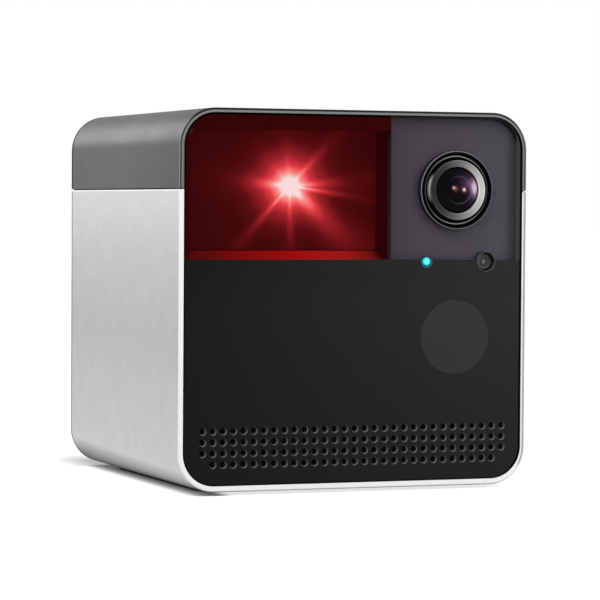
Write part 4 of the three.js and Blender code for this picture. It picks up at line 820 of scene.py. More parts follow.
@dataclass
class FrontPane:
    """The flat glossy front pane: black, with a red window and a clear one, and its holes."""

    half: float = 39.15
    low: float = 1.46
    high: float = 80.8
    corner: float = 6.85
    front: float = -39.7
    back: float = -37.95
    soft_edge: float = 0.15
    divide: float = 8.1
    floor: float = 49.6
    pitch: float = 2.33
    row_pitch: float = 2.38
    top_row: float = 12.95
    hole: float = 0.62
    sink: float = 0.16
    rows: tuple[int, ...] = (31, 31, 31, 29)
    openings: tuple[tuple[Spot, float, float, int], ...] = (
        (LENS, 8.6, 0.1, 96), (SENSOR, 2.3, 0.1, 48), (STATUS, 1.0, 0.05, 32))
    infrared: Spot = (23.5, 32.65)
    infrared_radius: float = 7.95
    halo_radius: float = 1.35
    border: float = 1.42
    window_top: float = 77.6
    window_side: float = -38.2
    band: float = 38.05

    def drill(self, spot: Spot, radius: float, sink: float, sides: int) -> Piece:
        """A cutter for a round hole with a countersunk front edge.

        Args:
            spot: the middle of the hole.
            radius: its radius.
            sink: how much wider the hole is at the face.
            sides: the sides of the cutter.

        Returns:
            The cutter.
        """
        profile = [(self.front - 1, radius + sink + 1), (self.front + sink, radius), (self.back + 1, radius)]
        return Piece.turned("drill", spot, profile, sides)

    def plate(self) -> Piece:
        """The whole pane before its colours are parted, with a fine rounding round its face."""
        piece = Piece.block("black_panel", (-self.half, self.front, self.low),
                            (self.half, self.back, self.high)).rounded("y", self.corner, 14)
        piece.edges(lambda a, b: max(a.y, b.y) < self.front + TOUCH).bevel(self.soft_edge, 2)
        return piece.carve(*(self.drill(*opening) for opening in self.openings))

    def grille(self) -> list[Piece]:
        """The cutters for the speaker holes, a row at a time."""
        first = self.drill(MIDDLE, self.hole, self.sink, 14)
        made = []
        for row, count in enumerate(self.rows):
            start = (-(count - 1) / 2 * self.pitch, 0, self.top_row - row * self.row_pitch)
            made.append(first.copy("drill_row", start).repeat(count, (self.pitch, 0, 0)))
        first.remove()
        return made

    def build(self) -> None:
        """Builds the pane's three colours from one plate and dresses them."""
        black, bottom, side = self.plate(), (0, 0, self.floor), (self.divide, 0, 0)
        red = black.copy("red_window").trim(bottom, (0, 0, -1)).trim(side, (1, 0, 0))
        clear = black.copy("clear_window").trim(bottom, (0, 0, -1)).trim(side, (-1, 0, 0))
        black.trim(bottom, (0, 0, 1)).carve(*self.grille())
        black.done(self.ink(), "panel_black", "front_panel", angle=10)
        red.done(self.red_glass(), "window_red", "laser_window", angle=10)
        clear.done(self.clear_glass(), "window_smoke", "camera_window", angle=10)

    def ink(self) -> Material:
        """Gloss black with a painted reflection, lighter to the right and darker towards the bottom: the
        infrared window shows faintly, the status light's glow is painted spilling into the pane, and the
        speaker holes' edges take painted highlights.
        """
        graph = Graph("gloss black")
        x, y, z = graph.place()
        patch = graph.noise(14, detail=3)
        far = distance(x, z, self.infrared) - self.infrared_radius
        # Painted glow of the status light on the pane round it.
        halo = distance(x, z, STATUS).below(self.halo_radius, 0.3) * y.below(self.back - 0.1)
        tone = graph.layers(
            # Painted reflection: lighter to the right and darker towards the bottom.
            graph.mix(((x + self.half) / (2 * self.half)).clamp(), 9, 45),
            ((1 - (z + 30) / 85).clamp(), 5),
            (patch * 0.1, cool(20)),
            (far.below(0, 0.15) * 0.35 + far.bell(0.12) * 0.25, (72, 71, 73)),
            # Painted highlights on the speaker holes' lower right edges.
            (self.hole_edge_highlights(x, z), 112),
            (edge_depth(x, z).below(self.border, 0.05), BLACK))
        return graph.finish(Base_Color=tone, Roughness=0.05 + patch * 0.03, Specular_IOR_Level=0.1,
                            Emission_Color=graph.mix(halo, BLACK, (10, 96, 104)), Emission_Strength=1.0)

    def hole_edge_highlights(self, x: Sock, z: Sock) -> Sock:
        """How much painted highlight a speaker hole's countersunk edge takes: most at the lower right of
        each hole.

        Args:
            x: the shaded point's place across the front.
            z: its height.

        Returns:
            0 to 1.
        """
        last = len(self.rows) - 1
        row = ((self.top_row - z) / self.row_pitch).math("ROUND").most(0).least(last)
        reach = (self.rows[0] - 1) / 2 - (row - (last - 1)).most(0)
        place = (x / self.pitch).math("ROUND").most(-reach).least(reach)
        across, up = x - place * self.pitch, z - self.top_row + row * self.row_pitch
        far = (across * across + up * up) ** 0.5
        side = ((across * 0.75 - up * 0.66) / far * 0.6 + 0.4).clamp()
        return (far - self.hole - self.sink * 0.6).bell(0.12) * side

    def glass(self, name: str, tones: tuple[Colour, Colour], tint: Colour, borders: Callable[..., Sock],
              painted: tuple[Colour, Colour, Colour], gloss: float) -> Material:
        """Tinted clear plastic with a painted border.

        Args:
            name: the material's name.
            tones: its darker and its lighter tone.
            tint: the colour of the light that passes through.
            borders: gives the border's share from the point's place.
            painted: the border's colour at the left and at the right, and that of the pane's very edge.
            gloss: the specular level.

        Returns:
            The material.
        """
        graph = Graph(name)
        x, y, z = graph.place()
        patch = graph.noise(12, detail=2)
        border, edge = borders(x, y, z), edge_depth(x, z).below(self.border, 0.05)
        left, right, rim = painted
        tone = graph.layers(graph.mix(patch, *tones), (border, graph.mix(x.below(20, 1), right, left)),
                            (edge, rim))
        skin = graph.skin(Base_Color=tone, Roughness=0.04 + patch * 0.02, Specular_IOR_Level=gloss)
        through = graph.sock("BsdfTransparent", None, {0: linear(tint)})
        share = (border.most(edge) * 0.88 + 0.12).clamp()
        return graph.close(graph.sock("MixShader", None, {0: share, 1: through, 2: skin}))

    def red_glass(self) -> Material:
        """Deep red clear plastic, painted the same red above and beside the laser chamber."""
        def borders(x: Sock, y: Sock, z: Sock) -> Sock:
            """Above and to the left of the chamber's mouth."""
            return z.above(self.window_top, 0.15).most(x.below(self.window_side, 0.15))
        paint = (56, 5, 6)
        return self.glass("red glass", ((60, 4, 5), (70, 5, 6)), (255, 244, 244), borders,
                          (paint, paint, BLACK), 0.01)

    def clear_glass(self) -> Material:
        """Lightly smoked clear plastic, with a fine line painted where it meets the red and a right band."""
        def borders(x: Sock, y: Sock, z: Sock) -> Sock:
            """A line beside the red, and a band on the face at the right."""
            return x.below(self.divide + 0.12, 0.08).most(
                x.above(self.band, 0.12) * y.below(self.front + 0.5))
        return self.glass("smoked glass", ((20, 19, 21), (26, 24, 27)), (244, 242, 245), borders,
                          ((70, 58, 64), (60, 60, 59), (52, 51, 53)), 0.1)


@dataclass
class TurnedUnit:
    """A unit whose pieces are turned round an axis that stands square to the front."""

    spot: Spot

    def graph(self, name: str) -> tuple[Graph, Sock, Sock, Sock, Sock]:
        """Starts a material.

        Args:
            name: its name.

        Returns:
            Its graph, the shaded point's place across from the axis, its place from the front to the back
            and its height over the axis, and its distance from the axis.
        """
        graph = Graph(name)
        x, y, z = graph.place()
        return graph, x - self.spot[0], y, z - self.spot[1], distance(x, z, self.spot)


@dataclass
class CameraUnit(TurnedUnit):
    """The grey tray behind the clear window and the lens in it, from the collar to the domed front glass."""

    spot: Spot = LENS
    tray_low: Point = (8.95, -37.9, 49.55)
    tray_high: Point = (39.0, -36.7, 80.5)
    corner: float = 6.7
    openings: tuple[tuple[Spot, float], ...] = ((LENS, 8.55), (SENSOR, 2.3), (STATUS, 1.05))
    sides: int = 128
    collar: Profile = (
        (-39.65, 7.8), (-39.7, 7.9), (-39.7, 8.45), (-39.62, 8.55), (-38.0, 8.55), (-38.0, 8.35),
        (-35.9, 8.35), (-35.9, 10.5), (-34.7, 10.5), (-34.7, 7.75), (-39.6, 7.75), (-39.65, 7.8))
    barrel: Profile = (
        (-38.6, 6.7), (-38.6, 7.18), (-39.15, 7.24), (-39.3, 7.34), (-39.3, 7.5), (-39.15, 7.6),
        (-38.2, 7.64), (-38.0, 7.45), (-29.9, 7.45), (-29.9, 6.5), (-19.5, 6.5), (-19.5, 2.0), (-32.5, 2.0),
        (-32.5, 2.75), (-34.9, 2.75), (-37.3, 4.9), (-37.3, 6.7), (-38.6, 6.7))
    ring: Profile = (
        (-39.9, 5.08), (-40.05, 5.14), (-40.15, 5.26), (-40.15, 5.36), (-40.2, 5.42), (-40.2, 6.2),
        (-40.3, 6.28), (-40.3, 6.42), (-40.2, 6.54), (-40.0, 6.6), (-37.6, 6.6), (-37.6, 5.75),
        (-39.5, 5.75), (-39.5, 5.08), (-39.9, 5.08))
    flange: Profile = ((-38.3, 4.5), (-38.3, 5.6), (-39.4, 5.6), (-39.4, 5.02))
    apex: float = -41.2
    sphere: float = 9.0
    glass: float = 5.0
    glass_depth: float = 1.4
    # Where the painted highlights, glints and glow sit on the lens pieces.
    well_highlight: float = 8.5
    ridge_line: float = 7.42
    ring_highlight_lines: tuple[tuple[float, float], ...] = ((6.42, 0.12), (5.22, 0.1))
    ring_wall: float = 6.57
    clear_radius: float = 4.75
    faint_ring: float = 3.0
    painted_blooms: tuple[tuple[Spot, Spot, float], ...] = (
        ((4.1, 0.5), (1.5, 2.3), 1.0), ((1.6, 1.6), (1.6, 1.5), 0.3))
    painted_glints: tuple[tuple[Spot, float, Colour], ...] = (
        ((-0.9, 0.25), 0.5, (116, 62, 62)), ((-1.35, 0.5), 0.26, (230, 186, 178)),
        ((1.1, 0.1), 0.48, (158, 76, 58)), ((1.1, 0.1), 0.29, (255, 238, 228)))

    def tray(self) -> Piece:
        """The grey tray, its outer corner rounded as the pane's, with holes for the lens and the lights."""
        right, _, high = self.tray_high
        piece = Piece.block("bay_tray", self.tray_low, self.tray_high)
        piece.rounded("y", self.corner, 14, lambda p: p.x > right - 1 and p.z > high - 1)
        return piece.carve(*(Piece.turned("drill", spot, [(-40, radius), (-35, radius)], 64)
                             for spot, radius in self.openings))

    def dome(self) -> Profile:
        """The outline of the front glass: its hollow back, its flange and its domed face."""
        steps = 24
        radii = [self.glass * step / steps for step in range(steps, 0, -1)]
        arc = [(self.apex + self.sphere - math.sqrt(self.sphere ** 2 - r * r), r) for r in radii]
        arc.append((self.apex + 0.0001, 0.02))
        back = [(y + self.glass_depth, r * 0.87) for y, r in reversed(arc)]
        return [*back, *self.flange, *arc]

    def build(self) -> None:
        """Builds the tray and the lens and dresses them."""
        self.tray().done(self.tray_grey(), "plate_grey", "camera_plate")
        for name, profile, material, slot, node in (
                ("lens_well", self.collar, self.collar_black, "moulded_black", "lens_collar"),
                ("barrel", self.barrel, self.barrel_black, "moulded_black", "lens_barrel"),
                ("retaining_ring", self.ring, self.ring_metal, "ring_metal", "lens_retaining_ring"),
                ("front_glass", self.dome(), self.dome_glass, "lens_glass", "lens_dome")):
            piece = Piece.turned(name, self.spot, profile, self.sides, closed=profile[0] == profile[-1])
            piece.done(material(), slot, node)

    def tray_grey(self) -> Material:
        """Dark warm grey of the camera bay, with a finely textured face."""
        graph = Graph("tray grey")
        x, y, z = graph.place()
        patch, grain = graph.noise(7, detail=3), graph.noise(0.25, detail=2)
        # Painted light: the bay lighter and cooler towards the right.
        tone = graph.mix(((x - 8) / 31).clamp(), (106, 98, 108), (129, 128, 135))
        return graph.finish(Base_Color=graph.mix(patch * 0.2, tone, (96, 91, 99)),
                            Roughness=0.5 + grain * 0.12, Normal=graph.bump(grain, 0.01))

    def collar_black(self) -> Material:
        """Black of the well round the lens, with a painted highlight line at its outer edge and a grey wall.
        """
        graph, _, y, _, far = self.graph("collar black")
        grain = graph.noise(0.3)
        # Painted highlight line at the well's outer edge.
        line = (far - self.well_highlight).bell(0.1) * y.below(-39.5)
        wall = far.above(self.well_highlight, 0.04)
        tone = graph.layers((4, 4, 5), (wall, (62, 60, 65)), (line, (150, 148, 152)))
        return graph.finish(Base_Color=tone, Roughness=0.6 + grain * 0.1, Specular_IOR_Level=0.01,
                            Normal=graph.bump(grain, 0.01))

    def barrel_black(self) -> Material:
        """Matt black, with a rough ridge round the lens that takes painted highlights above and below."""
        graph, _, y, up, far = self.graph("barrel black")
        grain = graph.noise(0.2, detail=3, rough=0.7)
        # Painted highlights on the ridge, strongest above and below.
        ridge = (far - self.ridge_line).bell(0.16) * y.below(-38.9, 0.2)
        painted_light_share = (abs(up + 0.2) / far).clamp() ** 3 * 0.85 + 0.2
        tone = graph.mix(ridge * painted_light_share, (5, 5, 6), graph.mix(grain, 110, 225))
        return graph.finish(Base_Color=tone, Roughness=0.6 + grain * 0.1, Specular_IOR_Level=0.01,
                            Normal=graph.bump(grain, 0.01))

    def ring_metal(self) -> Material:
        """Turned metal of the ring, with a painted reflection lighter at the right, painted highlights on
        its edges, and its wall in painted shade with a painted glint at the left.
        """
        graph, across, _, up, far = self.graph("ring metal")
        rough = graph.noise(0.22, detail=3, rough=0.7)
        groove = (far * 40.0).math("SINE") * 0.5 + 0.5
        # Painted reflection lighter at the right; painted highlights on the edges; the wall in painted shade
        # with a painted glint.
        side = ((across / far + 1) / 2).clamp() ** 2.2
        outer, inner = ((far - radius).bell(width) for radius, width in self.ring_highlight_lines)
        edges = (outer + inner).clamp() * (side * 0.8 + 0.2)
        glint = ((across / far + 0.95).bell(0.09) * abs(up - 0.6).below(2.2, 2.4)).clamp() * 0.9
        tone = graph.layers(
            graph.mix(side, graph.mix(rough, (8, 8, 9), 52), graph.mix(rough, 180, 226)),
            (edges, graph.mix(side, 120, WHITE)),
            (far.above(self.ring_wall, 0.03), graph.mix(glint, cool(10), 250)))
        return graph.finish(Base_Color=tone, Metallic=0.2, Specular_IOR_Level=0.2,
                            Roughness=0.4 + groove * 0.1, Normal=graph.bump(rough, 0.006))

    def dome_glass(self) -> Material:
        """Coated front glass: black, with painted glow for what it reflects and shows inside: a pale purple
        bloom at the right, a faint ring and warm glints.
        """
        graph, across, _, up, far = self.graph("coated glass")
        patch = graph.noise(3, detail=2)
        # Painted reflections as glow: the blooms, the faint inner ring and the glints.
        right, middle = ((across - place[0]).bell(width[0]) * (up - place[1]).bell(width[1]) * strength
                         for place, width, strength in self.painted_blooms)
        glow = graph.layers(
            graph.ramp(((right + middle) * far.below(self.clear_radius, 0.25)).clamp(), (0.0, BLACK),
                       (0.28, (52, 36, 60)), (0.6, (122, 92, 122)), (0.95, (206, 182, 202))),
            ((far - self.faint_ring).bell(0.11) * (across / 8 + 0.3).clamp(), (104, 96, 110)),
            *((distance(across, up, spot).bell(size), tone) for spot, size, tone in self.painted_glints))
        return graph.finish(Base_Color=graph.mix(patch, (4, 4, 6), (7, 6, 9)), Roughness=0.03 + patch * 0.02,
                            Specular_IOR_Level=0.04, Emission_Color=glow, Emission_Strength=1.0)


@dataclass
class LightSensor(TurnedUnit):
    """The small stepped barrel of the light sensor below the camera bay."""

    spot: Spot = SENSOR
    profile: Profile = (
        (-31.5, 1.85), (-35.1, 1.85), (-35.1, 3.2), (-35.9, 3.2), (-35.9, 2.22), (-39.64, 2.22),
        (-39.7, 2.16), (-39.64, 2.08), (-36.2, 2.08), (-36.2, 1.7), (-38.3, 1.7), (-38.4, 1.6), (-38.4, 1.2),
        (-38.2, 1.1), (-38.2, 0.95), (-38.4, 0.85), (-38.4, 0.75), (-38.1, 0.65), (-38.15, 0.3))
    # From the middle outwards: a painted highlight in the middle, grey and black rings, and a painted
    # highlight line at the front lip.
    tones: tuple[tuple[float, Colour], ...] = (
        (0.0, 150), (0.22, (110, 110, 108)), (0.32, 44), (0.42, (118, 118, 116)), (0.5, 78),
        (0.64, (92, 92, 90)), (0.7, 6), (0.82, 2), (0.86, 126), (0.9, 60))

    def build(self) -> None:
        """Builds and dresses the sensor, its tones running from its middle outwards."""
        graph, *_, far = self.graph("sensor barrel")
        grain = graph.noise(0.2)
        tone = graph.layers(graph.ramp((far / 2.5).clamp(), *self.tones), (grain * 0.3, (60, 58, 62)))
        material = graph.finish(Base_Color=tone, Roughness=0.4, Specular_IOR_Level=0.2,
                                Normal=graph.bump(grain, 0.01))
        barrel = Piece.turned("sensor_barrel", self.spot, self.profile, 64)
        barrel.done(material, "moulded_black", "light_sensor")


@dataclass
class StatusLight(TurnedUnit):
    """The light pipe of the status light."""

    spot: Spot = STATUS
    profile: Profile = (
        (-32.8, 0.85), (-35.1, 0.85), (-35.1, 1.8), (-35.9, 1.8), (-35.9, 0.85), (-39.6, 0.85),
        (-39.7, 0.75), (-39.75, 0.4))

    def build(self) -> None:
        """Builds and dresses the light pipe, which glows at its face alone."""
        graph, _, y, _, far = self.graph("status cyan")
        glow = graph.mix(y.below(-39.5), (0, 24, 28), graph.ramp(
            (far / 0.95).clamp(), (0.0, (120, 250, 255)), (0.5, (0, 232, 255)), (1.0, (0, 160, 190))))
        material = graph.finish(Base_Color=graph.mix(graph.noise(0.5), (60, 150, 160), (80, 170, 178)),
                                Roughness=0.2, Emission_Color=glow, Emission_Strength=1.0)
        pipe = Piece.turned("light_pipe", self.spot, self.profile, 40)
        pipe.done(material, "status_light", "status_light_pipe")


@dataclass
class Flare:
    """The dark red filter in front of the laser unit, on which the beam's light is painted as a glowing
    star.

    Each ray is its direction and width in degrees, its length in millimetres and its strength, and each
    round its width and strength. The ledge's stops are places across and the painted glow of the chamber
    floor there.
    """

    spot: Spot = (-13.5, 65.5)
    base: float = 46.0
    rounds: tuple[tuple[float, float], ...] = ((7.1, 242.0), (2.6, 240.0))
    full: float = 500.0
    squash: float = 0.92
    rays: tuple[tuple[float, float, float, float], ...] = (
        (4, 8, 14, 76), (48, 7, 15, 60), (95, 8, 12, 24), (127, 6, 10, 16), (175, 12, 11, 84),
        (230, 5, 16, 80), (271, 5, 20, 50), (316, 15, 20, 118), (351, 4, 13, 105))
    left: float = -36.3
    right: float = 6.7
    low: float = 51.7
    high: float = 77.8
    front: float = -34.4
    thickness: float = 0.7
    corner: float = 4.5
    glow: float = 1.2
    glow_stops: tuple[tuple[float, Colour], ...] = (
        (0.09, (46, 4, 4)), (0.18, (90, 14, 16)), (0.32, (160, 38, 46)), (0.45, (226, 66, 74)),
        (0.53, (249, 108, 110)), (0.68, (253, 168, 166)), (0.86, (255, 246, 242)))
    ledge_glow_stops: tuple[tuple[float, Colour], ...] = (
        (-36.0, (70, 10, 9)), (-29.0, (103, 13, 14)), (-13.8, (151, 13, 15)), (-7.0, (160, 22, 26)),
        (-0.6, (153, 25, 25)), (4.6, (106, 20, 19)), (7.2, (34, 3, 5)))

    def chamber_red(self) -> Material:
        """Dark red moulding of the chamber, with the beam's light painted on its mouth as a glow, brightest
        on the floor, and painted shade on the right wall.
        """
        graph = Graph("lit chamber red")
        x, y, z = graph.place()
        grain = graph.noise(0.4)
        left, right = self.ledge_glow_stops[0][0], self.ledge_glow_stops[-1][0]
        floor = graph.ramp(((x - left) / (right - left)).clamp(), *(
            ((place - left) / (right - left), tone) for place, tone in self.ledge_glow_stops))
        # Painted light: a dim red glow over the mouth, the beam's light on the floor, and painted shade on
        # the right wall.
        glow = graph.layers((46, 4, 4), (z.below(self.low - 0.05), floor),
                            (x.above(self.right + 0.12), (26, 2, 3)))
        return graph.finish(
            Base_Color=graph.mix(grain, (30, 4, 5), (38, 5, 6)), Roughness=0.5 + grain * 0.1,
            Specular_IOR_Level=0.04, Normal=graph.bump(grain, 0.01), Emission_Strength=self.glow,
            Emission_Color=graph.mix(y.below(self.front + 0.2), BLACK, glow))

    def build(self) -> None:
        """Builds and dresses the filter, and dresses the chamber."""
        dress("laser_chamber", self.chamber_red())
        piece = Piece.block("laser_filter", (self.left, self.front, self.low),
                            (self.right, self.front + self.thickness, self.high))
        piece.rounded("y", self.corner, 8, lambda p: p.x < self.left + 1 and p.z > self.high - 1)
        piece.done(self.star(), "chamber_red", "laser_filter")

    def star(self) -> Material:
        """Deep red, with the beam's light painted on it as a glow: a white core, pink and red rounds and
        soft rays.
        """
        graph = Graph("laser star")
        x, y, z = graph.place()
        across, up = (x - self.spot[0]) * self.squash, z - self.spot[1]
        far, angle = (across * across + up * up) ** 0.5, up.math("ARCTAN2", across)
        wobble = graph.noise(1.5, detail=2)
        haze, core = (far.bell(width) * strength for width, strength in self.rounds)
        power = self.base + haze + core
        for direction, width, length, strength in self.rays:
            turn = ((1 - (angle - math.radians(direction)).math("COSINE")) * 2) ** 0.5
            ray = turn.bell(math.radians(width)) * far.bell(length)
            power = power + ray * (wobble * 0.2 + 0.9) * strength
        glow = graph.ramp((power / self.full).clamp(), *self.glow_stops)
        return graph.finish(Base_Color=graph.mix(wobble, (30, 4, 5), (38, 5, 6)), Roughness=0.5,
                            Specular_IOR_Level=0.04, Emission_Color=glow, Emission_Strength=self.glow)


@dataclass
class RearPanel:
    """The rear panel with its bosses and openings, its four screws, the reset button and the inlet."""

    half: float = 39.0
    low: float = 1.5
    high: float = 80.5
    corner: float = 6.7
    inner: float = 37.6
    outer: float = 39.6
    overrun: float = 41.0
    gap: float = 0.2
    boss_spots: tuple[Spot, ...] = ((-26, 14), (26, 14), (-26, 68), (26, 68))
    boss: Profile = ((27.6, 2.2), (27.8, 2.4), (36.6, 2.4), (37.3, 2.75), (38, 3.4))
    boss_bore: Profile = ((27, 1.1), (33.8, 1.1))
    head: float = 2.1
    head_seat: float = 38.4
    head_crown: Profile = ((39.25, 2.1), (39.45, 1.98), (39.56, 1.7), (39.6, 1.1))
    shank: float = 1.0
    shank_tip: Profile = ((31.9, 0.5), (32.3, 0.85))
    thread_pitch: float = 0.6
    thread_root: float = 0.8
    recess: tuple[float, float] = (1.25, 0.24)
    recess_floor: float = 38.75
    recess_taper_share: float = 0.65
    softening: float = 0.14
    button: Spot = (14.0, 13.0)
    button_hole: float = 2.2
    cap: Profile = (
        (35.35, 1.5), (35.45, 1.65), (36.5, 1.65), (36.5, 2.9), (37.3, 2.9), (37.3, 2.0), (39.05, 2.0),
        (39.3, 1.85), (39.4, 1.6), (39.36, 1.3), (39.24, 0.8), (39.2, 0.3))
    inlet_half: tuple[float, float] = (4.5, 1.65)
    inlet_z: float = 13.0
    inlet_front: float = 27.6
    inlet_back: float = 38.9
    inlet_corner: float = 1.6
    inlet_wall: float = 0.35
    mouth: float = 6.5
    tongue: tuple[float, float] = (3.2, 0.35)

    def screw_spots(self) -> dict[str, Spot]:
        """Each cover screw's node, with its spot on the panel."""
        names = [f"cover_screw_{i}" for i in range(1, 5)]
        middles = [to_part((low + high) / 2) for low, high in map(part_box, names)]
        return {name: (middle.x, middle.z) for name, middle in zip(names, middles)}

    def plate(self) -> Piece:
        """The panel, its bosses welded on, its openings cut and its edges softened."""
        piece = Piece.block("rear_panel", (-self.half, self.inner, self.low),
                            (self.half, self.outer, self.high)).rounded("y", self.corner, 14)
        piece.weld(*(Piece.turned("boss", spot, self.boss, 32) for spot in self.boss_spots))
        piece.carve(*(Piece.turned("bore", spot, self.boss_bore, 24) for spot in self.boss_spots))
        shank, head, seat = self.shank + self.gap, self.head + self.gap, self.head_seat
        bore = [(37, shank), (seat, shank), (seat, head), (self.overrun, head)]
        piece.carve(*(Piece.turned("bore", spot, bore) for spot in self.screw_spots().values()))
        hole = [(37, self.button_hole), (self.overrun, self.button_hole)]
        piece.carve(Piece.turned("bore", self.button, hole))
        wide, tall = (size + self.gap for size in self.inlet_half)
        slot = Piece.block("slot", (-wide, 37, self.inlet_z - tall),
                           (wide, self.overrun, self.inlet_z + tall)).rounded("y", self.inlet_corner, 8)
        return piece.carve(slot).soften(self.softening, 2, 50)

    def screw(self) -> Piece:
        """One cover screw on the middle axis: a ridged shank, a rounded head and a cross recess."""
        thread = []
        for turn in range(9):
            crest = 32.5 + turn * self.thread_pitch
            thread += [(crest, self.shank), (crest + self.thread_pitch / 2, self.thread_root)]
        seat = [(38.1, self.shank), (self.head_seat, self.shank), (self.head_seat, self.head)]
        piece = Piece.turned("screw", MIDDLE, [*self.shank_tip, *thread, *seat, *self.head_crown], 32)
        for wide, tall in (self.recess, self.recess[::-1]):
            cutter = Piece.block("recess", (-wide, self.recess_floor, -tall), (wide, 40.5, tall))
            cutter.faces(lambda c, n: n.y < -SQUARE_ON).resize(
                (self.recess_taper_share, 1, self.recess_taper_share), (0, self.recess_floor, 0))
            piece.carve(cutter)
        return piece

    def build(self) -> None:
        """Builds and dresses the panel, the screws, the button and the inlet."""
        self.plate().done(MOULDED.material(), "moulded_black", "rear_cover", angle=10)
        first = self.screw()
        for name, (x, z) in self.screw_spots().items():
            screw = first.copy(name.replace("cover", "rear"), (x, 0, z))
            screw.done(STEEL.material(), "steel_bright", name)
        first.remove()
        cap = Piece.turned("reset_cap", self.button, self.cap)
        cap.done(MOULDED.material(), "moulded_black", "reset_button", body="button")
        self.inlet_shell().done(STEEL.material(), "steel_bright", "usb_socket")
        (wide, tall), back = self.tongue, self.inlet_back
        tongue = Piece.block("inlet_tongue", (-wide, back - self.mouth - 0.2, self.inlet_z - tall),
                             (wide, back - 0.9, self.inlet_z + tall))
        tongue.soften(0.12).done(self.tongue_black(), "chip_black")

    def inlet_shell(self) -> Piece:
        """The charging inlet's drawn steel shell, open at the rear."""
        wide, tall = self.inlet_half
        shell = Piece.block("inlet_shell", (-wide, self.inlet_front, self.inlet_z - tall),
                            (wide, self.inlet_back, self.inlet_z + tall)).rounded("y", self.inlet_corner, 8)
        return shell.faces(lambda c, n: n.y > SQUARE_ON).inset(self.inlet_wall, self.mouth)

    def tongue_black(self) -> Material:
        """Black of the inlet's tongue, with a row of gilt contacts."""
        graph = Graph("tongue black")
        x, y, z = graph.place()
        grain = graph.noise(0.2)
        row = y.below(self.inlet_back - 1.5) * abs(x).below(2.9)
        contact = ((x * 12.57).math("SINE") * 4).clamp() * row
        tone = graph.layers(graph.mix(grain, cool(16), cool(24)), (contact, (212, 176, 96)))
        return graph.finish(Base_Color=tone, Roughness=0.4 - contact * 0.12, Metallic=contact,
                            Normal=graph.bump(grain, 0.01))


@dataclass
class Foot:
    """The rubber foot pad under the shell and the threaded tripod insert in its middle."""

    low: float = -0.8
    corner: float = 6.0
    hole: float = 5.075
    thread: tuple[float, float] = (3.175, 2.75)
    pitch: float = 1.27
    top: float = 6.8
    turns: int = 4
    outside: Profile = (
        (0, 3.6), (0, 4.7), (0.18, 4.875), (2.2, 4.875), (2.2, 6.6), (3.4, 6.6), (3.4, 4.875), (8, 4.875))

    def build(self) -> None:
        """Builds and dresses the pad and the insert."""
        wide, deep = FOOT_HALF
        pad = Piece.block("rubber_foot", (-wide, -deep, self.low), (wide, deep, FOOT_TOP))
        pad.rounded("z", self.corner, 10)
        pad.carve(Piece.turned("bore", MIDDLE, [(-2, self.hole), (2, self.hole)], 64, Axis.Z)).soften(0.25)
        pad.done(RUBBER.material(), "foot_rubber", "foot_pad")
        bore, crest = self.thread
        thread = []
        for turn in range(self.turns):
            start = self.top - 0.5 - turn * self.pitch
            thread += [(start, bore), (start - self.pitch / 2, crest)]
        profile = [(self.top, crest), *thread, (0.6, bore), *self.outside]
        insert = Piece.turned("threaded_insert", MIDDLE, profile, 64, Axis.Z)
        insert.done(BRASS.material(), "insert_brass", "tripod_insert")


@dataclass(frozen=True)
class Lamp:
    """A soft square lamp, placed in metres, that lights either surfaces or only their gloss."""

    name: str
    place: Point
    aim: Point
    size: float
    power: float
    gloss: bool = False

    def build(self) -> None:
        """Adds the lamp."""
        data = bpy.data.lights.new(self.name, "AREA")
        data.shape, data.size, data.energy = "SQUARE", self.size, self.power
        holder = bpy.data.objects.new(self.name, data)
        holder.location = self.place
        holder.visible_glossy, holder.visible_diffuse = self.gloss, not self.gloss
        holder.rotation_euler = (Vector(self.aim) - Vector(self.place)).to_track_quat("-Z", "Y").to_euler()
        bpy.context.scene.collection.objects.link(holder)


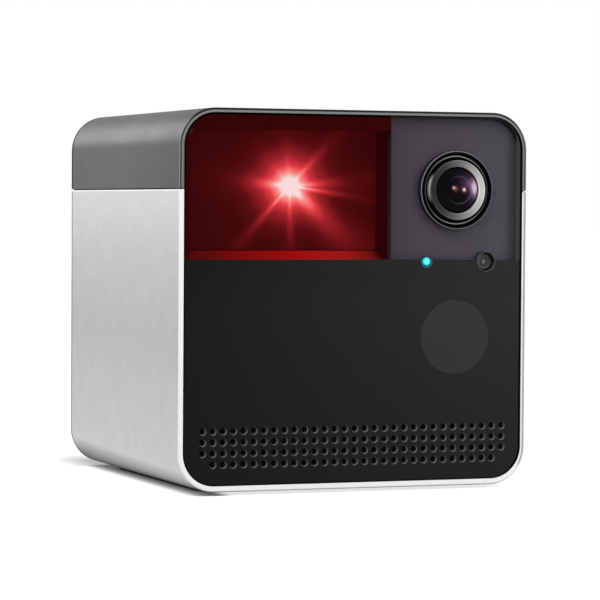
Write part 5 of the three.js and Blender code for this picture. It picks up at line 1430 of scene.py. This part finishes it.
@dataclass
class Studio:
    """A plain pale floor, soft light and the camera at the photograph's place.

    The camera's eye is in millimetres and its turns are in degrees. Its focal length and frame are in the
    picture's pixels.
    """

    eye: Point = (-239.4, -629.3, 60.9)
    yaw: float = 21.012
    pitch: float = -1.808
    roll: float = 0.382
    focal: float = 2936.3
    frame_size: float = 600.0
    sensor: float = 36.0
    dim: float = 0.55
    floor_size: float = 12.0
    shade_reach: float = 2.5
    floor_glow: float = 0.76
    lamps: tuple[Lamp, ...] = (
        Lamp("key", (-0.9, -0.7, 1.5), (0, 0, 0.04), 1.2, 16),
        Lamp("fill", (1.0, -1.1, 0.7), (0, 0, 0.04), 1.0, 7),
        Lamp("corner", (-0.365, 1.67, 0.5), (-0.03, 0, 0.07), 0.5, 2.6, gloss=True))

    def camera(self) -> None:
        """Sets the camera at the photograph's viewing angle."""
        yaw, pitch, roll = (math.radians(a) for a in (self.yaw, self.pitch, self.roll))
        ahead = Vector((math.sin(yaw) * math.cos(pitch), math.cos(yaw) * math.cos(pitch), math.sin(pitch)))
        right = Vector((math.cos(yaw), -math.sin(yaw), 0))
        up = right.cross(ahead)
        lean, level = math.sin(roll), math.cos(roll)
        right, up = right * level + up * lean, up * level - right * lean
        data = bpy.data.cameras.new("camera")
        data.sensor_width = self.sensor
        data.lens = self.focal * self.sensor / self.frame_size
        data.clip_start, data.clip_end = 0.01, 50
        holder = bpy.data.objects.new("camera", data)
        turn = Matrix((right, up, -ahead)).transposed().to_4x4()
        holder.matrix_world = Matrix.Translation(to_scene(self.eye)) @ turn
        bpy.context.scene.collection.objects.link(holder)
        bpy.context.scene.camera = holder

    def world(self) -> None:
        """White where it is seen, and a soft even light for the rest."""
        graph = Graph("studio", "worlds")
        strength = graph.seen() * (1 - self.dim) + self.dim
        back = graph.sock("Background", None, {"Color": (1, 1, 1, 1), "Strength": strength})
        bpy.context.scene.world = graph.close(back, "OutputWorld")

    def floor(self) -> None:
        """A wide pale floor that shows white, with shade from occlusion under and beside the object and a
        painted shadow behind it.
        """
        free()
        bpy.ops.mesh.primitive_plane_add(size=self.floor_size, location=(0, 0, 0))
        plane = bpy.context.object
        plane.name = "floor"
        graph = Graph("pale floor")
        x, y, z = graph.place()
        near = graph.sock("AmbientOcclusion", {"samples": 16}, {"Distance": self.shade_reach * MM}, "AO")
        # The occlusion shade is kept to the left and the rear by a painted mask, and behind the object is a
        # painted shadow.
        side = x.below(-29, 3).most(y.above(0, 20))
        behind = y.above(38, 4) * y.below(62, 20) * abs(x).below(38, 10)
        sky = (1 - (1 - (near * 1.35).clamp() ** 1.1) * side) * (1 - behind * 0.6)
        plane.data.materials.append(graph.finish(
            Base_Color=graph.mix(sky, 60, graph.mix(graph.noise(120, detail=2), 176, 180)), Roughness=0.9,
            Emission_Color=graph.mix(sky, 40, WHITE), Emission_Strength=graph.seen() * self.floor_glow))

    def build(self) -> None:
        """Sets up world, floor, lamps and camera."""
        self.world()
        self.floor()
        for lamp in self.lamps:
            lamp.build()
        self.camera()
        bpy.context.scene.view_settings.view_transform = "Standard"


def dress(name: str, material: Material) -> None:
    """Gives a node of the part that still shows its procedural finish."""
    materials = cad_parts[name].data.materials
    materials.clear()
    materials.append(material)
    log.info("%s: %s", name, material.name)


def main() -> None:
    """Dresses the nodes, builds every sub-assembly in order, then the studio."""
    logging.basicConfig(level=logging.INFO, format="%(name)s: %(message)s")
    for finish, names in NODE_FINISHES.items():
        for name in names.split():
            dress(name, finish.material())
    for unit in (Housing, FrontPane, CameraUnit, LightSensor, StatusLight, Flare, RearPanel, Foot, Studio):
        unit().build()
    free()


if __name__ == "__main__":
    main()
